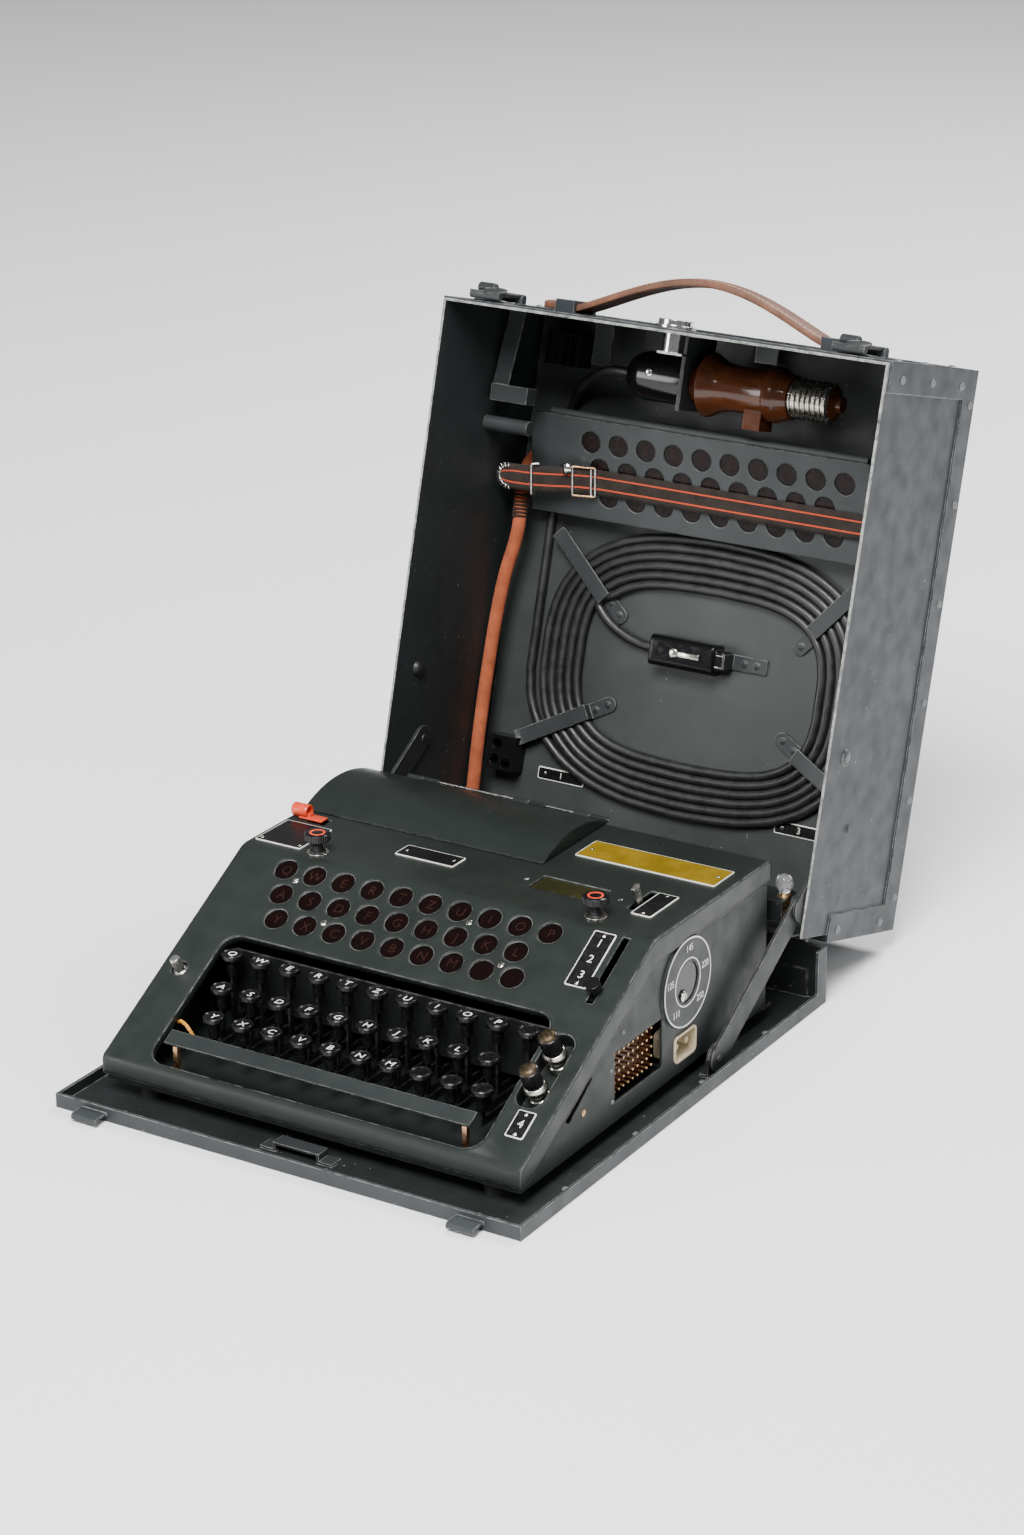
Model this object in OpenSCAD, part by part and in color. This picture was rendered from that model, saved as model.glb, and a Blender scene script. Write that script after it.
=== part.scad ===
// Portable rotor cipher machine, open in its riveted sheet-metal carrying case.
// Frame: +X to the right of the keyboard, +Y to the back, +Z up, millimetres.
// The origin is the centre of the tray's underside, on the table.

/* [Case] */
// Width of the tray that the machine stands on
tray_w = 325; // [322:1:328]
// Depth of the tray, front to back
tray_d = 366; // [364:1:370]
// Height of the low rim along the front and the sides
rim_h = 9; // [7:0.5:9.5]
// Height of the cover's hinge line above the table
hinge_z = 40.3; // [39:0.1:41]
// Depth of the cover, from its rim to the outside of its back panel
cover_depth = 132.5; // [131:0.5:135]
// Angle that the open cover leans back from upright
cover_lean = 15.9; // [12:0.1:18]

/* [Machine] */
// Width of the machine
body_w = 293; // [291:1:294]
// Front of the machine, from the middle of the tray
body_front = -157; // [-158:0.5:-156]
// Rear of the machine, from the middle of the tray
body_rear = 137; // [136:0.5:138]
// Height of the flat top above the table
top_z = 111; // [110:0.5:112]
// Where the sloping front meets the flat top
fold_y = -8; // [-9:0.5:-7]
// Height of the upright lip at the front, at its top
lip_z = 27; // [26:0.5:28]

/* [Keyboard] */
// Distance between neighbouring keys and between lamp windows
pitch = 21; // [20.5:0.1:21.2]
// Sideways step from one row to the next
row_step = 7; // [6.5:0.1:7.2]
// Diameter of a key's round cap
cap_d = 13.6; // [12.5:0.1:14]
// Diameter of a lamp window
window_d = 15; // [13:0.1:15.5]

/* [Rotors] */
// Diameter of the finger wheel of each rotor
rotor_d = 72; // [66:1:72]
// Number of rotor pairs on the shaft
rotor_count = 5; // [5:1:5]

/* [Cord] */
// Diameter of the mains cord
cord_d = 6.3; // [6:0.1:6.4]
// Diameter of the braided lamp cable
braid_d = 9.2; // [8.5:0.1:9.2]

/* [Hidden] */
$fn = 48;

// Sheet thicknesses and general clearances
sheet = 1.5;
skin = 1.6;
floor_t = 2;
run = 0.05;
seat = 0.3;

// Frame of the sloping panel
slope_a = atan2(top_z - lip_z, fold_y - body_front);
slope_len = norm([top_z - lip_z, fold_y - body_front]);
half_w = body_w / 2;

// Hinge line of the cover and the cover's own sizes
hinge_y = tray_d / 2;
hinge_depth = hinge_z - rim_h + 1.2;
knuckle_r = 2.2;
hinge_pin_r = 1.1;
knuckles = 11;
knuckle_span = 297;
cover_inset = 2.5;
wall_x = tray_w / 2 - cover_inset;
cover_top = tray_d - 3;
angle_w = 18;
recess = 5;
recess_end = hinge_depth + 2.6;
panel_back = cover_depth - sheet;
inner_back = panel_back - sheet;
inner_x = wall_x - sheet;
upstand_z = hinge_z - 2.3;

// Stay linkage: arms close to the side walls, in two layers
stay_foot = [55, 12];
stay_knee = [156, 72.9];
stay_head = [71.8, 42.2];
stay_t = 2;
stay_upper_x = inner_x - stay_t - seat;
stay_lower_x = stay_upper_x - stay_t - seat;
stay_w = 16.6;
stay_pin_r = 2.4;

// Key grid, seen on the sloping panel: distance up the slope of each row
first_x = -107;
key_rows = [92.2, 67.8, 46.6];
lamp_rows = [159.6, 141.3, 123.1];
lamp_counts = [10, 9, 9];
row1 = ["q", "w", "e", "r", "t", "z", "u", "i", "o", "p", "function_1"];
row2 = ["a", "s", "d", "f", "g", "h", "j", "k", "l", "function_2"];
row3 = ["y", "x", "c", "v", "b", "n", "m", "blank_1", "blank_2", "function_3"];
KEYS = [for (r = [0:2], c = [0:len([row1, row2, row3][r]) - 1])
        [str("key_", [row1, row2, row3][r][c]), r, c]];
key_shaft = [24, 28];
key_shaft_r = 1.5;
cap_h = 14;

// Keyboard opening on the slope
board_x = [-117.5, 115];
board_s = [5, 105.3];
board_r = 12;

// Flat top: bay under the rotor cover, and the smaller openings
flap_x = [-146, 31];
flap_y = [57, 137];
flap_rise = 10;
flap_pin = [138.8, 111.6];
bay_x = [-138, 26];
bay_y = [62, 128];
counter_x = [41, 87];
counter_y = [24, 43.5];
thumb_left = [-97.7, 2.8];
thumb_right = [98.8, 6];
lever_slot = [110.8, 40.9];
selector_s = [119, 169];
selector_x = 129.3;
terminal_x = 127;
terminal_s = [55.5, 80];
push_pin = [-134.1, 72.3];

// Right side: voltage dial, pin connector, mains inlet and fuse slot
dial = [33, 69];
dial_r = 28.6;
dial_hub_r = 12.6;
pins_y = [-50, 5.5];
pins_z = [24, 56];
inlet_y = [19.5, 46];
inlet_z = [19, 37];
fuse = [-90.5, 44.4];
fuse_slot = [34, 7.5];

// Rotor shaft
rotor_y = 95;
rotor_z = 82;
rotor_pitch = 30;
rotor_x0 = -129;
rotor_shaft_r = 5;

// Remote lamp panel in the cover: face from its top edge down to its foot
box_x = [-138.5, 113];
box_top = [95, 296];
box_foot = [113, 230];
box_back = 121.5;
box_tilt = atan2(box_foot[0] - box_top[0], box_top[1] - box_foot[1]);

// Mains cord: coil on the back panel
coil_x = -1.5;
coil_u = 137.5;
coil_out = [125, 92];
coil_in = [86, 55];
coil_out_r = 88;
coil_in_r = 38;
cord_v = inner_back - cord_d / 2;

// Routes of the free stretches, in the cover's frame: x, depth, height
plug_lead = [[-35.5, cord_v, 151.5], [-41, cord_v, 151.5], [-47, cord_v, 152], [-53, cord_v, 153.2],
             [-59, cord_v, 155], [-65, cord_v, 157.4], [-71, cord_v, 160.6], [-77, cord_v, 164.6],
             [-82, cord_v, 168.6]];
mains_lead = [[-130, cord_v, 137], [-130, cord_v, 150], [-130, cord_v, 170], [-130, cord_v, 190],
              [-130, cord_v, 210], [-130, cord_v, 230], [-130, cord_v, 250], [-130, cord_v, 268],
              [-129.5, cord_v, 284], [-128, 126, 294], [-124, 124, 303], [-117, 117.5, 312],
              [-108, 109, 319.5], [-97, 100.5, 325.5], [-86, 93, 329.5], [-76, 89, 331], [-70, 88, 331],
              [-63.4, 88, 331]];
lamp_lead = [[-138.5, 115, 266], [-140.5, 115, 266], [-144.4, 114, 262.5], [-146.4, 112, 255],
             [-146.4, 110.4, 244], [-145.4, 109, 231], [-144.4, 108.5, 217], [-146, 108.5, 203],
             [-148.6, 108.5, 190], [-150.6, 108.5, 175], [-152, 108.5, 155], [-152.8, 108.5, 132],
             [-153.2, 108.5, 108], [-153.2, 108.5, 84], [-152.8, 108.5, 62], [-152.2, 108.5, 46],
             [-152, 108.5, 38], [-152, 108.5, 30]];

// Leather handle on the cover
handle_v = 62;
handle_x = 97;
handle_rise = 27;
handle_w = 22;
handle_t = 4.5;
latch_x = 131;

// ---- small geometry helpers ----

function unit(v) = v / norm(v);

// Points of the arc of radius r that rounds the corner b between a and c
function corner_arc(a, b, c, r, n = 5) =
    let (u = unit(a - b), w = unit(c - b), half = acos(u * w) / 2,
         mid = b + unit(u + w) * r / sin(half),
         p = b + u * r / tan(half) - mid, q = b + w * r / tan(half) - mid,
         a0 = atan2(p[1], p[0]), turn = (atan2(q[1], q[0]) - a0 + 540) % 360 - 180)
    [for (i = [0:n]) mid + r * [cos(a0 + turn * i / n), sin(a0 + turn * i / n)]];

// Point on the sloping panel: distance up the slope s, height over it h
function on_slope(s, h = 0) =
    [body_front + s * cos(slope_a) - h * sin(slope_a), lip_z + s * sin(slope_a) + h * cos(slope_a)];

// Box from one corner to the other
module block(a, b) {
    translate(a) cube(b - a);
}

module rod_x(x0, x1, y, z, r) {
    translate([x0, y, z]) rotate([0, 90, 0]) cylinder(r = r, h = x1 - x0);
}

module rounded_rect(w, h, r) {
    square([w - 2 * r, h], center = true);
    square([w, h - 2 * r], center = true);
    for (x = [-1, 1], y = [-1, 1]) translate([x * (w / 2 - r), y * (h / 2 - r)]) circle(r);
}

// Outline in y and z, made solid from x0 to x1
module along_x(x0, x1) {
    translate([x0, 0, 0]) rotate([90, 0, 90]) linear_extrude(x1 - x0) children();
}

module on_panel() {
    translate([0, body_front, lip_z]) rotate([slope_a, 0, 0]) children();
}

// The open cover's frame: x, depth from its rim, height along its back
module in_cover() {
    translate([0, hinge_y, hinge_z]) rotate([-cover_lean, 0, 0]) translate([0, -hinge_depth, 0])
        children();
}

// Face of the remote lamp panel: x, distance down the face, height over it
module on_lamp_face() {
    translate([0, box_top[0], box_top[1]]) rotate([90 + box_tilt, 0, 0]) mirror([0, 1, 0]) children();
}

module dome_rivet(r = 2.6, h = 1.3) {
    rotate_extrude() polygon([[0, 0], [r, 0], [r * 0.8, h * 0.65], [r * 0.4, h], [0, h]]);
}

// Tube of diameter d swept along hand-chosen points
function along(p, i) = unit(p[min(i + 1, len(p) - 1)] - p[max(i - 1, 0)]);
function side_of(t) = unit(cross(t, abs(t[1]) > 0.8 ? [1, 0, 0] : [0, 1, 0]));
module tube(p, d, sides = 8) {
    rings = [for (i = [0:len(p) - 1]) let (t = along(p, i), a = side_of(t), b = cross(t, a))
             for (j = [0:sides - 1]) p[i] + d / 2 * (a * cos(360 * j / sides) + b * sin(360 * j / sides))];
    last = len(p) - 1;
    walls = [for (i = [0:last - 1], j = [0:sides - 1]) let (k = (j + 1) % sides)
             [i * sides + j, (i + 1) * sides + j, (i + 1) * sides + k, i * sides + k]];
    ends = [[for (j = [0:sides - 1]) j], [for (j = [sides - 1:-1:0]) last * sides + j]];
    polyhedron(rings, concat(walls, ends));
}

// ---- the case ----

module hinge_knuckle(i, inner_r, r = knuckle_r) {
    step = knuckle_span / knuckles;
    x = -knuckle_span / 2 + i * step;
    difference() {
        rod_x(x + seat / 2, x + step - seat / 2, 0, 0, r);
        rod_x(x - 1, x + step + 1, 0, 0, inner_r);
    }
}

module keeper(x) {
    width = 18;
    reach = 9;
    block([x - width / 2, -hinge_y - reach, 4], [x + width / 2, -hinge_y, 5.5]);
    rod_x(x - width / 2, x + width / 2, -hinge_y - reach, 3.2, 2.3);
}

module staple() {
    width = 32;
    y = -162;
    block([-width / 2 - 9, y - 5, floor_t], [-width / 2, y + 5, floor_t + 1.6]);
    block([width / 2, y - 5, floor_t], [width / 2 + 9, y + 5, floor_t + 1.6]);
    block([-width / 2, y - 5, floor_t], [-width / 2 + 1.6, y + 5, 8]);
    block([width / 2 - 1.6, y - 5, floor_t], [width / 2, y + 5, 8]);
    block([-width / 2, y - 5, 6.4], [width / 2, y + 5, 8]);
}

module stay_bracket(side) {
    x = stay_lower_x - 0.3;
    wide = 9;
    mirror([side < 0 ? 1 : 0, 0, 0]) {
        difference() {
            union() {
                along_x(x - 1.6, x) union() {
                    translate(stay_foot) circle(wide);
                    translate([stay_foot[0] - wide, floor_t]) square([2 * wide, stay_foot[1] - floor_t]);
                }
                block([x - 6, stay_foot[0] - wide, floor_t], [x, stay_foot[0] + wide, floor_t + 1.6]);
            }
            rod_x(x - 3, x + 1, stay_foot[0], stay_foot[1], stay_pin_r);
        }
        rod_x(x - 1.6, stay_lower_x + stay_t + 0.8, stay_foot[0], stay_foot[1], stay_pin_r);
    }
}

// Rail behind the machine that carries the spare bulbs in sockets
rack_y = [147, 166];
rack_z = [65, 79];
bulb_x = [for (i = [0:4]) 145.4 - i * 27];
module bulb_rack() {
    difference() {
        union() {
            block([20, rack_y[0], rack_z[0]], [149, rack_y[0] + sheet, rack_z[1]]);
            block([20, rack_y[0], rack_z[1] - sheet], [149, rack_y[1], rack_z[1]]);
            for (x = [22, 78, 122]) {
                block([x, rack_y[0], floor_t], [x + 14, rack_y[0] + sheet, rack_z[1]]);
                block([x, rack_y[0], floor_t], [x + 14, rack_y[0] + 12, floor_t + sheet]);
            }
        }
        for (x = bulb_x) translate([x, 156.5, rack_z[1] - 3]) cylinder(r = 4.2, h = 5);
    }
    for (x = bulb_x) translate([x, 156.5, rack_z[1] - 12]) difference() {
        cylinder(r = 4.2, h = 13);
        translate([0, 0, 9]) cylinder(r = 3.3, h = 5);
    }
}

module spare_bulbs() {
    for (x = bulb_x) translate([x, 156.5, rack_z[1] - 3]) rotate_extrude()
        polygon([[0, 0], [3.3, 0], [3.3, 5.5], [4.6, 7.4], [5.5, 9.6], [5.7, 11.8], [5.1, 14.2],
                 [3.6, 16.2], [1.6, 17.2], [0, 17.4]]);
}

module case_tray() {
    w = tray_w / 2;
    d = tray_d / 2;
    step = knuckle_span / knuckles;
    color("#3d4345") {
        difference() {
            union() {
                block([-w, -d, 0], [w, d, floor_t]);
                block([-w, -d, 0], [w, -d + 2, rim_h]);
                for (x = [-w, w - 2]) block([x, -d, 0], [x + 2, d, rim_h]);
                block([-w, d - 2, 0], [w, d, upstand_z]);
                block([-w + 12, d - 3.5, floor_t], [w - 12, d - 2, 21]);
                for (x = [-w, w - 1.9]) block([x, d - 11, 0], [x + 1.9, d, upstand_z]);
                for (i = [1:2:knuckles - 2]) {
                    x = -knuckle_span / 2 + i * step + seat / 2;
                    translate([0, hinge_y, hinge_z]) hinge_knuckle(i, hinge_pin_r);
                    difference() {
                        block([x, d - 2, upstand_z - 1], [x + step - seat, d - 0.4, hinge_z]);
                        rod_x(x - 1, x + step, hinge_y, hinge_z, hinge_pin_r);
                    }
                }
            }
        }
        keeper(-133.7);
        keeper(129.1);
    }
    color("#2f3436") {
        staple();
        stay_bracket(1);
        stay_bracket(-1);
        bulb_rack();
    }
    color("#d8d4c8") spare_bulbs();
    color("#8a8c8a") {
        rod_x(-knuckle_span / 2, knuckle_span / 2, hinge_y, hinge_z, hinge_pin_r);
        for (x = [-120, -108, -24, 24, 128, 140]) translate([x, -d + 11, floor_t]) dome_rivet(2.2, 1.1);
        for (y = [-120, -40, 40, 120], x = [-w + 9, w - 9]) translate([x, y, floor_t]) dome_rivet(2.2, 1.1);
    }
}

// Outline of the cover's side wall, with its step around the tray's upstand
function side_outline() =
    [[0, recess], [recess_end, recess], [recess_end, sheet], [panel_back, sheet],
     [panel_back, cover_top], [0, cover_top]];

module cover_shell() {
    for (x = [-wall_x, inner_x]) along_x(x, x + sheet) polygon(side_outline());
    block([-wall_x, 0, cover_top - sheet], [wall_x, panel_back, cover_top]);
    block([-wall_x, inner_back, sheet], [wall_x, panel_back, cover_top]);
    block([-stay_lower_x + 0.6, 0, recess], [stay_lower_x - 0.6, recess_end + sheet, recess + sheet]);
    block([-wall_x, recess_end, sheet], [wall_x, recess_end + sheet, recess + sheet]);
    block([-wall_x, recess_end, sheet], [wall_x, panel_back, 2 * sheet]);
}

// Riveted angle strips that frame every outer face of the cover
module cover_angles() {
    out = wall_x + sheet;
    top = cover_top + sheet;
    window = [angle_w, top - angle_w - sheet];
    difference() {
        block([-out, 2, 0], [out, cover_depth, top]);
        block([-wall_x, -1, sheet], [wall_x, panel_back, cover_top]);
        block([-out - 1, -1, window[0]], [out + 1, cover_depth - angle_w, window[1]]);
        block([-out + angle_w, -1, window[1] - 5], [out - angle_w, cover_depth - angle_w, top + 1]);
        block([-out + angle_w, recess_end + angle_w, -1], [out - angle_w, cover_depth - angle_w, 9]);
        block([-out + angle_w, 50, window[0]], [out - angle_w, cover_depth + 1, window[1]]);
        block([-out - 1, -1, -1], [out + 1, recess_end, angle_w + 1]);
    }
    block([-out + angle_w, 2, cover_top], [out - angle_w, 2 + angle_w, top]);
}

module cover_rivets() {
    out = wall_x + sheet;
    top = cover_top + sheet;
    for (side = [-1, 1]) {
        for (v = [21, 65.5, 110]) translate([side * out, v, top - 11]) rotate([0, side * 90, 0]) dome_rivet();
        for (i = [0:5]) translate([side * out, cover_depth - 6, 22 + 64 * i]) rotate([0, side * 90, 0])
            dome_rivet();
        for (v = [47.5, 109.5]) translate([side * out, v, 7.5]) rotate([0, side * 90, 0]) dome_rivet();
        for (v = [30, 70, 110]) translate([side * (out - 9), v, top]) dome_rivet();
        for (u = [30:60:340]) translate([side * (out - 9), cover_depth, u]) rotate([-90, 0, 0]) dome_rivet();
        translate([side * wall_x, 24, 118.4]) rotate([0, side * 90, 0]) {
            cylinder(r = 5.4, h = 0.8);
            translate([0, 0, 0.8]) dome_rivet(3.4, 1.4);
        }
    }
    for (x = [-120:48:120]) {
        translate([x, cover_depth, 9]) rotate([-90, 0, 0]) dome_rivet();
        translate([x, cover_depth, top - 9]) rotate([-90, 0, 0]) dome_rivet();
    }
}

module handle_bracket(x) {
    top = cover_top;
    difference() {
        block([x - 7, handle_v - 15, top], [x + 7, handle_v + 15, top + 9.5]);
        block([x - 8, handle_v - handle_w / 2 - 0.6, top + 1.6],
              [x + 8, handle_v + handle_w / 2 + 0.6, top + 1.6 + handle_t + 1.6]);
    }
}

module case_cover() {
    in_cover() {
        color("#4a5154") difference() {
            union() cover_shell();
            lock_hole();
        }
        color("#4a5154") union() {
            for (i = [0:2:knuckles - 1]) {
                step = knuckle_span / knuckles;
                x = -knuckle_span / 2 + i * step + seat / 2;
                translate([0, hinge_depth, 0]) hinge_knuckle(i, hinge_pin_r + run);
                difference() {
                    block([x, hinge_depth, 0], [x + step - seat, recess_end + 1, sheet]);
                    rod_x(x - 1, x + step, hinge_depth, 0, hinge_pin_r + run);
                }
            }
        }
        color("#565d60") difference() {
            cover_angles();
            lock_hole();
        }
        color("#6d7476") cover_rivets();
        color("#3a4042") for (x = [-handle_x, handle_x]) handle_bracket(x);
        color("#6d7476") for (side = [-1, 1]) {
            translate([side * wall_x, stay_head[1], stay_head[0]]) rotate([0, side * 90, 0]) dome_rivet(3.4, 1.2);
            translate([side * inner_x, stay_head[1], stay_head[0]]) rotate([0, -side * 90, 0])
                cylinder(r = stay_pin_r, h = inner_x - stay_upper_x + 0.8);
        }
    }
}

// Flat riveted spring clip: its foot plate ends at the step, its blade reaches to the tip
module spring_clip(step, tip) {
    dir = tip - step;
    reach = inner_back - cord_d - 0.5;
    wide = 10.5;
    foot = 20;
    translate([step[0], 0, step[1]]) rotate([0, -atan2(dir[1], dir[0]), 0]) {
        block([-foot + wide / 2, inner_back - sheet, -wide / 2], [sheet, inner_back, wide / 2]);
        translate([-foot + wide / 2, inner_back, 0]) rotate([90, 0, 0]) cylinder(r = wide / 2, h = sheet);
        block([0, reach - sheet, -wide / 2], [sheet, inner_back, wide / 2]);
        block([0, reach - sheet, -wide / 2], [norm(dir) - 3, reach, wide / 2]);
        along_clip_tip(norm(dir) - 3, reach, wide);
        for (x = [-14, -4]) translate([x, inner_back - sheet, 0]) rotate([90, 0, 0]) dome_rivet(2.4, 1.2);
    }
}

// Upturned end of a clip's blade
module along_clip_tip(x, reach, wide) {
    translate([x, 0, -wide / 2]) linear_extrude(wide)
        polygon([[0, reach - sheet], [3, reach - sheet - 1.6], [3, reach - 1.6], [0, reach]]);
}

module plug_bracket() {
    back = inner_back - sheet;
    block([19.5, back, 147], [46, inner_back, 157]);
    block([19.5, inner_back - 15, 147], [21, inner_back, 157]);
    for (x = [29.5, 38.5]) translate([x, back, 152]) rotate([90, 0, 0]) dome_rivet(2.4, 1.2);
}

// Stops and spring holders under the cover's top and on its left wall
module accessory_clips() {
    top = cover_top - sheet;
    clip_t = 1.2;
    difference() {
        block([-16, 66, 312], [-13.5, 106, top]);
        rod_x(-17, -12, 88, 331, 13);
    }
    block([-16, 66, top - sheet], [-4, 106, top]);
    block([34, 70, top - clip_t], [50, 106, top]);
    block([34, 70, 350], [50, 70 + clip_t, top]);
    block([34, 70, 350], [50, 90, 350 + clip_t]);
    block([-106, 108, 332], [-92, 108 + clip_t, top]);
    block([-106, 108, top - clip_t], [-92, inner_back, top]);
    block([-152, 66, top - clip_t], [-136, 90, top]);
    translate([0, 70, 0]) rotate([90, 0, 0]) linear_extrude(clip_t)
        polygon([[-150, top], [-138, top], [-144, 311], [-156, 311]]);
    block([-154, 64, 300], [-126, 76, 311]);
    rod_x(-inner_x, -125, 72, 284.5, 5);
    block([-144, 112, 328], [-118, inner_back, 350]);
    for (i = [0:3]) block([-142 + i * 6.4, 111, 329], [-139 + i * 6.4, 112.5, 349]);
    for (u = [233, 289]) block([-115, box_back + seat, u], [105, inner_back, u + 4]);
}

// Lock barrel through the cover's top, with its cam inside
lock_v = 22;
module lock_hole() {
    translate([0, lock_v, cover_top - 5]) cylinder(r = 7.4, h = 12);
}

module lock() {
    translate([0, lock_v, cover_top + sheet]) {
        cylinder(r = 13, h = 2);
        translate([0, 0, 2]) cylinder(r = 11.6, h = 3.5);
        translate([0, 0, -15]) cylinder(r = 7, h = 15);
        translate([-9, -4, -16.6]) cube([18, 8, 1.6]);
    }
}

twin_face = 114;
module twin_block() {
    difference() {
        block([-147.2, twin_face, 50], [-127, inner_back, 74]);
        for (c = [[-141, 68], [-142, 57], [-133, 55]]) translate([c[0], twin_face - 1, c[1]]) rotate([-90, 0, 0])
            cylinder(r = 3.6, h = 12);
    }
}

module cover_fittings() {
    in_cover() {
        color("#50585a") {
            spring_clip([-79, 178], [-120, 217]);
            spring_clip([-80, 100.5], [-130, 73.5]);
            spring_clip([77.5, 181], [113.5, 223]);
            spring_clip([77.5, 100], [126.5, 72]);
            plug_bracket();
            accessory_clips();
        }
        color("#c9c8c4") lock();
        color("#2b2d2e") twin_block();
        color("#232526") translate([-152, 108.5, 2 * sheet]) {
            cylinder(r = 6, h = 14);
            translate([0, 0, 14]) cylinder(r = 5.4, h = 13);
        }
        color("#2f3335") for (side = [-1, 1]) translate([side * inner_x, 27, 119])
            rotate([0, -side * 90, 0]) dome_rivet(6, 3.4);
    }
}

// Strap handle: level under its brackets, bowed up between them
function bow(x) = handle_rise * pow(cos(90 * x / (handle_x - 6)), 1.15);
module carry_handle() {
    base = cover_top + 2;
    reach = handle_x - 6;
    steps = 36;
    under = [for (i = [0:steps]) let (x = reach * (2 * i / steps - 1)) [x, base + bow(x)]];
    in_cover() color("#7a4a2e") {
        translate([0, handle_v + handle_w / 2, 0]) rotate([90, 0, 0]) linear_extrude(handle_w)
            polygon(concat(under, [for (i = [steps:-1:0]) under[i] + [0, handle_t]]));
        for (s = [-1, 1]) mirror([s < 0 ? 1 : 0, 0, 0])
            block([reach - 0.5, handle_v - handle_w / 2, base],
                  [handle_x + 20, handle_v + handle_w / 2, base + handle_t]);
    }
}

// Draw latch on the cover's top: base with its pin, and the swinging lever
latch_pin = [31, cover_top + sheet + 4.2];
module latch(side) {
    x = side * latch_x;
    in_cover() color("#4b5255") difference() {
        union() {
            rod_x(x - 7, x + 7, latch_pin[0], latch_pin[1], 3);
            block([x - 11, 1, latch_pin[1] + 0.6], [x + 11, latch_pin[0], latch_pin[1] + 2.4]);
            rod_x(x - 11, x + 11, 3.6, latch_pin[1] - 0.4, 2.6);
        }
        rod_x(x - 20, x + 20, latch_pin[0], latch_pin[1], 1.2 + run);
        for (s = [-1, 1]) translate([x + s * 10, latch_pin[0], latch_pin[1]]) rotate([0, 90, 0])
            cylinder(r = 3.6, h = 5.6, center = true);
    }
}

module latch_base(side) {
    x = side * latch_x;
    difference() {
        union() {
            block([x - 13, 10, cover_top + sheet], [x + 13, 38, cover_top + sheet + 0.9]);
            for (s = [-1, 1]) translate([x + s * 10 - 2.5, 0, 0]) {
                rod_x(0, 5, latch_pin[0], latch_pin[1], 3);
                block([0, 28, cover_top + sheet], [5, 34, latch_pin[1]]);
            }
        }
        rod_x(x - 20, x + 20, latch_pin[0], latch_pin[1], 1.2);
    }
    rod_x(x - 12.5, x + 12.5, latch_pin[0], latch_pin[1], 1.2);
}

// ---- folding stays ----

module arm(a, b, x, pin_a, pin_b) {
    dir = b - a;
    turn = atan2(dir[1], dir[0]);
    difference() {
        along_x(x, x + stay_t) union() {
            translate(a) circle(stay_w / 2 + 0.2);
            translate(b) circle(stay_w / 2 + 0.2);
            translate(a) rotate(turn) translate([0, -stay_w / 2]) square([norm(dir), stay_w]);
        }
        if (pin_a > 0) rod_x(x - 1, x + stay_t + 1, a[0], a[1], pin_a);
        if (pin_b > 0) rod_x(x - 1, x + stay_t + 1, b[0], b[1], pin_b);
    }
}

function cover_point(v, u) =
    [hinge_y + (v - hinge_depth) * cos(cover_lean) + u * sin(cover_lean),
     hinge_z - (v - hinge_depth) * sin(cover_lean) + u * cos(cover_lean)];

module stay_lower() {
    color("#5a6062") for (side = [0, 1]) mirror([side, 0, 0]) {
        arm(stay_foot, stay_knee, stay_lower_x, stay_pin_r + run, 0);
        rod_x(stay_lower_x - 0.4, stay_lower_x + 0.5, stay_knee[0], stay_knee[1], 4);
    }
}

module stay_upper() {
    color("#5a6062") for (side = [0, 1]) mirror([side, 0, 0])
        arm(stay_knee, cover_point(stay_head[1], stay_head[0]), stay_upper_x, 0, stay_pin_r + run);
}

// ---- remote lamp panel, cords and plugs ----

module lamp_holes(r, h0, h1, x_shift, rows, counts, down = false) {
    for (r_i = [0:2], c = [0:counts[r_i] - 1])
        translate([first_x + x_shift + row_step * r_i + pitch * c, rows[r_i], h0]) cylinder(r = r, h = h1 - h0);
}

box_rows = [15.6, 33.6, 51.6];
module remote_lamp_box() {
    in_cover() {
        color("#33383a") difference() {
            along_x(box_x[0], box_x[1])
                polygon([box_top, box_foot, [box_back, box_foot[1]], [box_back, box_top[1]]]);
            along_x(box_x[0] + skin, box_x[1] - skin) polygon([[box_top[0] + 4, box_top[1] - skin],
                [box_foot[0] + 3, box_foot[1] + skin], [box_back - skin, box_foot[1] + skin],
                [box_back - skin, box_top[1] - skin]]);
            on_lamp_face() lamp_holes(window_d / 2, -5, 3, 14, box_rows, lamp_counts);
        }
        color("#3a1512") on_lamp_face() lamp_holes(window_d / 2 - 0.1, -2.6, -1, 14, box_rows, lamp_counts);
        color("#2a2e30") rod_x(-124, 111, box_top[0] + 2.6, box_top[1] + 2.2, 2.4);
    }
}

module coil_outline(half, r) {
    translate([coil_x, coil_u]) rounded_rect(2 * half[0], 2 * half[1], r);
}

module mains_cord_coil() {
    in_cover() color("#1d1d1e") translate([0, inner_back, 0]) rotate([90, 0, 0]) linear_extrude(cord_d)
        difference() {
            coil_outline(coil_out, coil_out_r);
            coil_outline(coil_in, coil_in_r);
        }
}

module mains_cord_leads() {
    in_cover() color("#1d1d1e") {
        tube(plug_lead, cord_d);
        tube(mains_lead, cord_d);
    }
}

module lamp_cable() {
    in_cover() color("#b5533a") tube(lamp_lead, braid_d, 10);
}

module device_plug() {
    back = inner_back;
    translate([-35.5, back - 7.6, 151.5]) rotate([0, 90, 0]) linear_extrude(48)
        rounded_rect(20.5, 15, 4);
    translate([12.5, back - 7.6, 151.5]) rotate([0, 90, 0]) linear_extrude(6.7) rounded_rect(14, 11, 2);
}

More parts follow.
